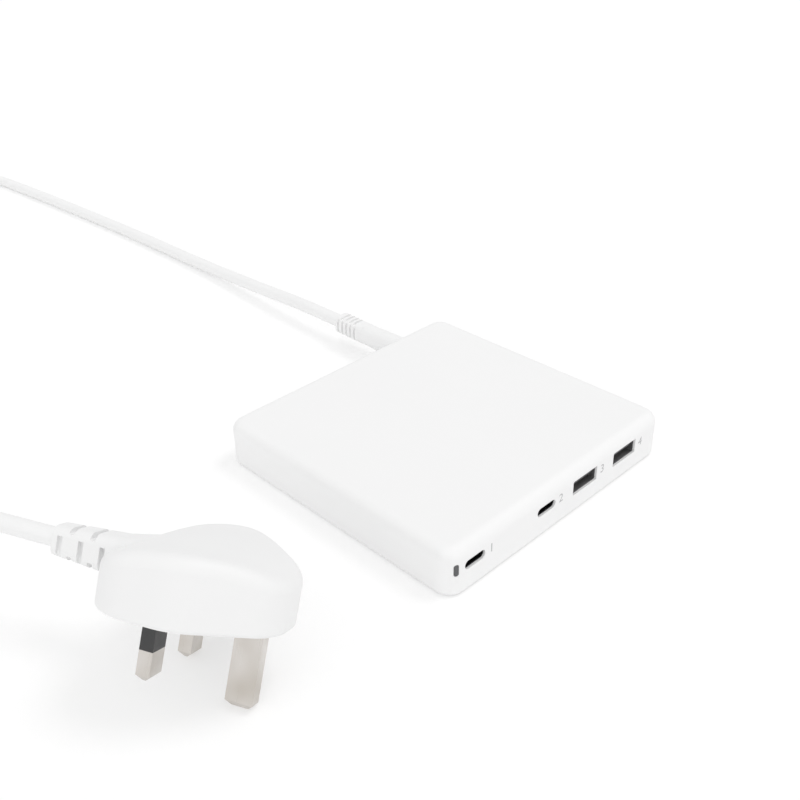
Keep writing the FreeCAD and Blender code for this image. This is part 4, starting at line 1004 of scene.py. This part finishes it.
@dataclass
class Studio:
    """A white light tent: floor, world, key light and the camera.

    Attributes:
        azimuth: Camera's bearing, in degrees.
        elevation: Camera's height angle, in degrees.
        roll: Camera's roll, in degrees.
        distance: Camera's distance from the point it looks at.
        target: Point that the camera looks at.
        focal_px: Focal length in pixels of an image of the given width.
        image_px: Width of the image.
        sensor_mm: Width of the camera's sensor.
        nearest: Nearest distance that the camera shows.
        farthest: Farthest distance that the camera shows.
        floor_half: Half of the floor's side.
        tent: Strength of the tent's even light.
        front: Strength that the tent's light gains where it is brightest.
        front_way: Direction in which the tent is brightest, low on the left and a little in front.
        key: Strength of the key light, which is far off so that it lights the floor evenly.
        key_way: Direction to the key light, high on the right and a little in front.
        key_spread: Angle that the key light takes up, in degrees, which softens its shadows.
        paper: sRGB hex colour of the floor.
        glow: Strength of the floor's own light where it is seen, a little over white.
        glow_share: Share of that light in what is seen of the floor; the rest takes the shadows.
    """

    azimuth: float = -44.0016
    elevation: float = 31.63
    roll: float = -1.5179
    distance: float = 0.39657
    target: tuple[float, float, float] = (0.01569, 0.03819, 0.0)
    focal_px: float = 1008.45
    image_px: int = 800
    sensor_mm: float = 36.0
    nearest: float = 0.01
    farthest: float = 50.0
    floor_half: float = 6.0
    tent: float = 0.675
    front: float = 0.45
    front_way: tuple[float, float, float] = (-0.86, -0.36, 0.22)
    key: float = 0.66
    key_way: tuple[float, float, float] = (0.52, -0.27, 1.00)
    key_spread: float = 24.0
    paper: str = "FBFBFB"
    glow: float = 1.12
    glow_share: float = 0.40

    def camera(self) -> None:
        """Sets up the camera."""
        bearing, height, roll = (math.radians(v) for v in (self.azimuth, self.elevation, self.roll))
        level = Vector((math.cos(bearing), math.sin(bearing), 0.0))
        out = Vector((math.sin(bearing), -math.cos(bearing), 0.0))
        back = out * math.cos(height) + Vector((0.0, 0.0, math.sin(height)))
        upright = back.cross(level)
        right = level * math.cos(roll) + upright * math.sin(roll)
        up = back.cross(right)
        lens = bpy.data.cameras.new("camera")
        lens.sensor_width = self.sensor_mm
        lens.lens = self.sensor_mm * self.focal_px / self.image_px
        lens.clip_start = self.nearest
        lens.clip_end = self.farthest
        view = add_object("camera", lens)
        view.matrix_world = Matrix.Translation(Vector(self.target) + back * self.distance) @ Matrix(
            (right, up, back)
        ).transposed().to_4x4()
        bpy.context.scene.camera = view

    @staticmethod
    def shown(tree: bpy.types.NodeTree) -> bpy.types.NodeSocket:
        """Tells rays that the camera sees or that gloss or glass shows from those that light the object.

        Args:
            tree: The tree of a world or a stage material.

        Returns:
            An output that is 1 for such a ray.
        """
        path = add_node(tree, "ShaderNodeLightPath").outputs
        seen = add_node(
            tree, "ShaderNodeMath", {0: path["Is Camera Ray"], 1: path["Is Glossy Ray"]}, operation="MAXIMUM"
        )
        shown = add_node(
            tree, "ShaderNodeMath", {0: seen.outputs[0], 1: path["Is Transmission Ray"]}, operation="MAXIMUM"
        )
        return shown.outputs[0]

    def world(self) -> None:
        """Makes the tent's light, and white where it is seen or mirrored."""
        world = bpy.data.worlds.new("light_tent")
        bpy.context.scene.world = world
        world.use_nodes = True
        tree = world.node_tree
        tree.nodes.clear()
        way = add_node(tree, "ShaderNodeTexCoord").outputs["Generated"]
        side = add_node(
            tree, "ShaderNodeVectorMath", {0: way, 1: Vector(self.front_way).normalized()},
            operation="DOT_PRODUCT",
        )
        facing = add_node(tree, "ShaderNodeMath", {0: side.outputs["Value"], 1: 0.0}, operation="MAXIMUM")
        level = add_node(
            tree, "ShaderNodeMath", {0: facing.outputs[0], 1: self.front, 2: self.tent},
            operation="MULTIPLY_ADD",
        )
        light = add_node(
            tree, "ShaderNodeBackground", {"Color": linear("FFFFFF"), "Strength": level.outputs[0]}
        )
        white = add_node(tree, "ShaderNodeBackground", {"Color": linear("FFFFFF"), "Strength": 1.0})
        mixed = add_node(
            tree, "ShaderNodeMixShader",
            {0: self.shown(tree), 1: light.outputs["Background"], 2: white.outputs["Background"]},
        )
        add_node(tree, "ShaderNodeOutputWorld", {"Surface": mixed.outputs["Shader"]})

    def floor(self) -> None:
        """Makes the white floor, which keeps the soft shadows."""
        half = self.floor_half
        mesh = bpy.data.meshes.new("floor")
        corners = [(-half, -half, 0), (half, -half, 0), (half, half, 0), (-half, half, 0)]
        mesh.from_pydata(corners, [], [(0, 1, 2, 3)])
        floor = add_object("floor", mesh)
        paper = bpy.data.materials.new("paper_floor_white")
        paper.use_nodes = True
        tree = paper.node_tree
        tree.nodes.clear()
        matt = add_node(tree, "ShaderNodeBsdfDiffuse", {"Color": linear(self.paper)})
        glow = add_node(tree, "ShaderNodeEmission", {"Color": linear("FFFFFF"), "Strength": self.glow})
        both = add_node(
            tree, "ShaderNodeMixShader",
            {0: self.glow_share, 1: matt.outputs["BSDF"], 2: glow.outputs["Emission"]},
        )
        mixed = add_node(
            tree, "ShaderNodeMixShader",
            {0: self.shown(tree), 1: matt.outputs["BSDF"], 2: both.outputs["Shader"]},
        )
        add_node(tree, "ShaderNodeOutputMaterial", {"Surface": mixed.outputs["Shader"]})
        mesh.materials.append(paper)

    def key_light(self) -> None:
        """Sets up the key light."""
        lamp = bpy.data.lights.new("key", "SUN")
        lamp.energy = self.key
        lamp.angle = math.radians(self.key_spread)
        key = add_object("key", lamp)
        key.rotation_mode = "QUATERNION"
        key.rotation_quaternion = Vector(self.key_way).to_track_quat("Z", "Y")

    def build(self) -> None:
        """Sets up view, floor, world and key light."""
        bpy.context.scene.view_settings.view_transform = "Standard"
        self.camera()
        self.world()
        self.floor()
        self.key_light()


def main() -> None:
    """Builds the sub-assemblies in order and reports each."""
    logging.basicConfig(level=logging.INFO, format="%(name)s: %(message)s")
    Studio().build()
    LOG.info("studio ready")
    for part in (Case(), Receptacles(), Board(), Plug()):
        part.build()
        part.dress()
        LOG.info("built and dressed: %s", type(part).__name__)
    lead = Lead()
    lead.dress(lead.build())
    LOG.info("laid the lead")


if __name__ == "__main__":
    main()
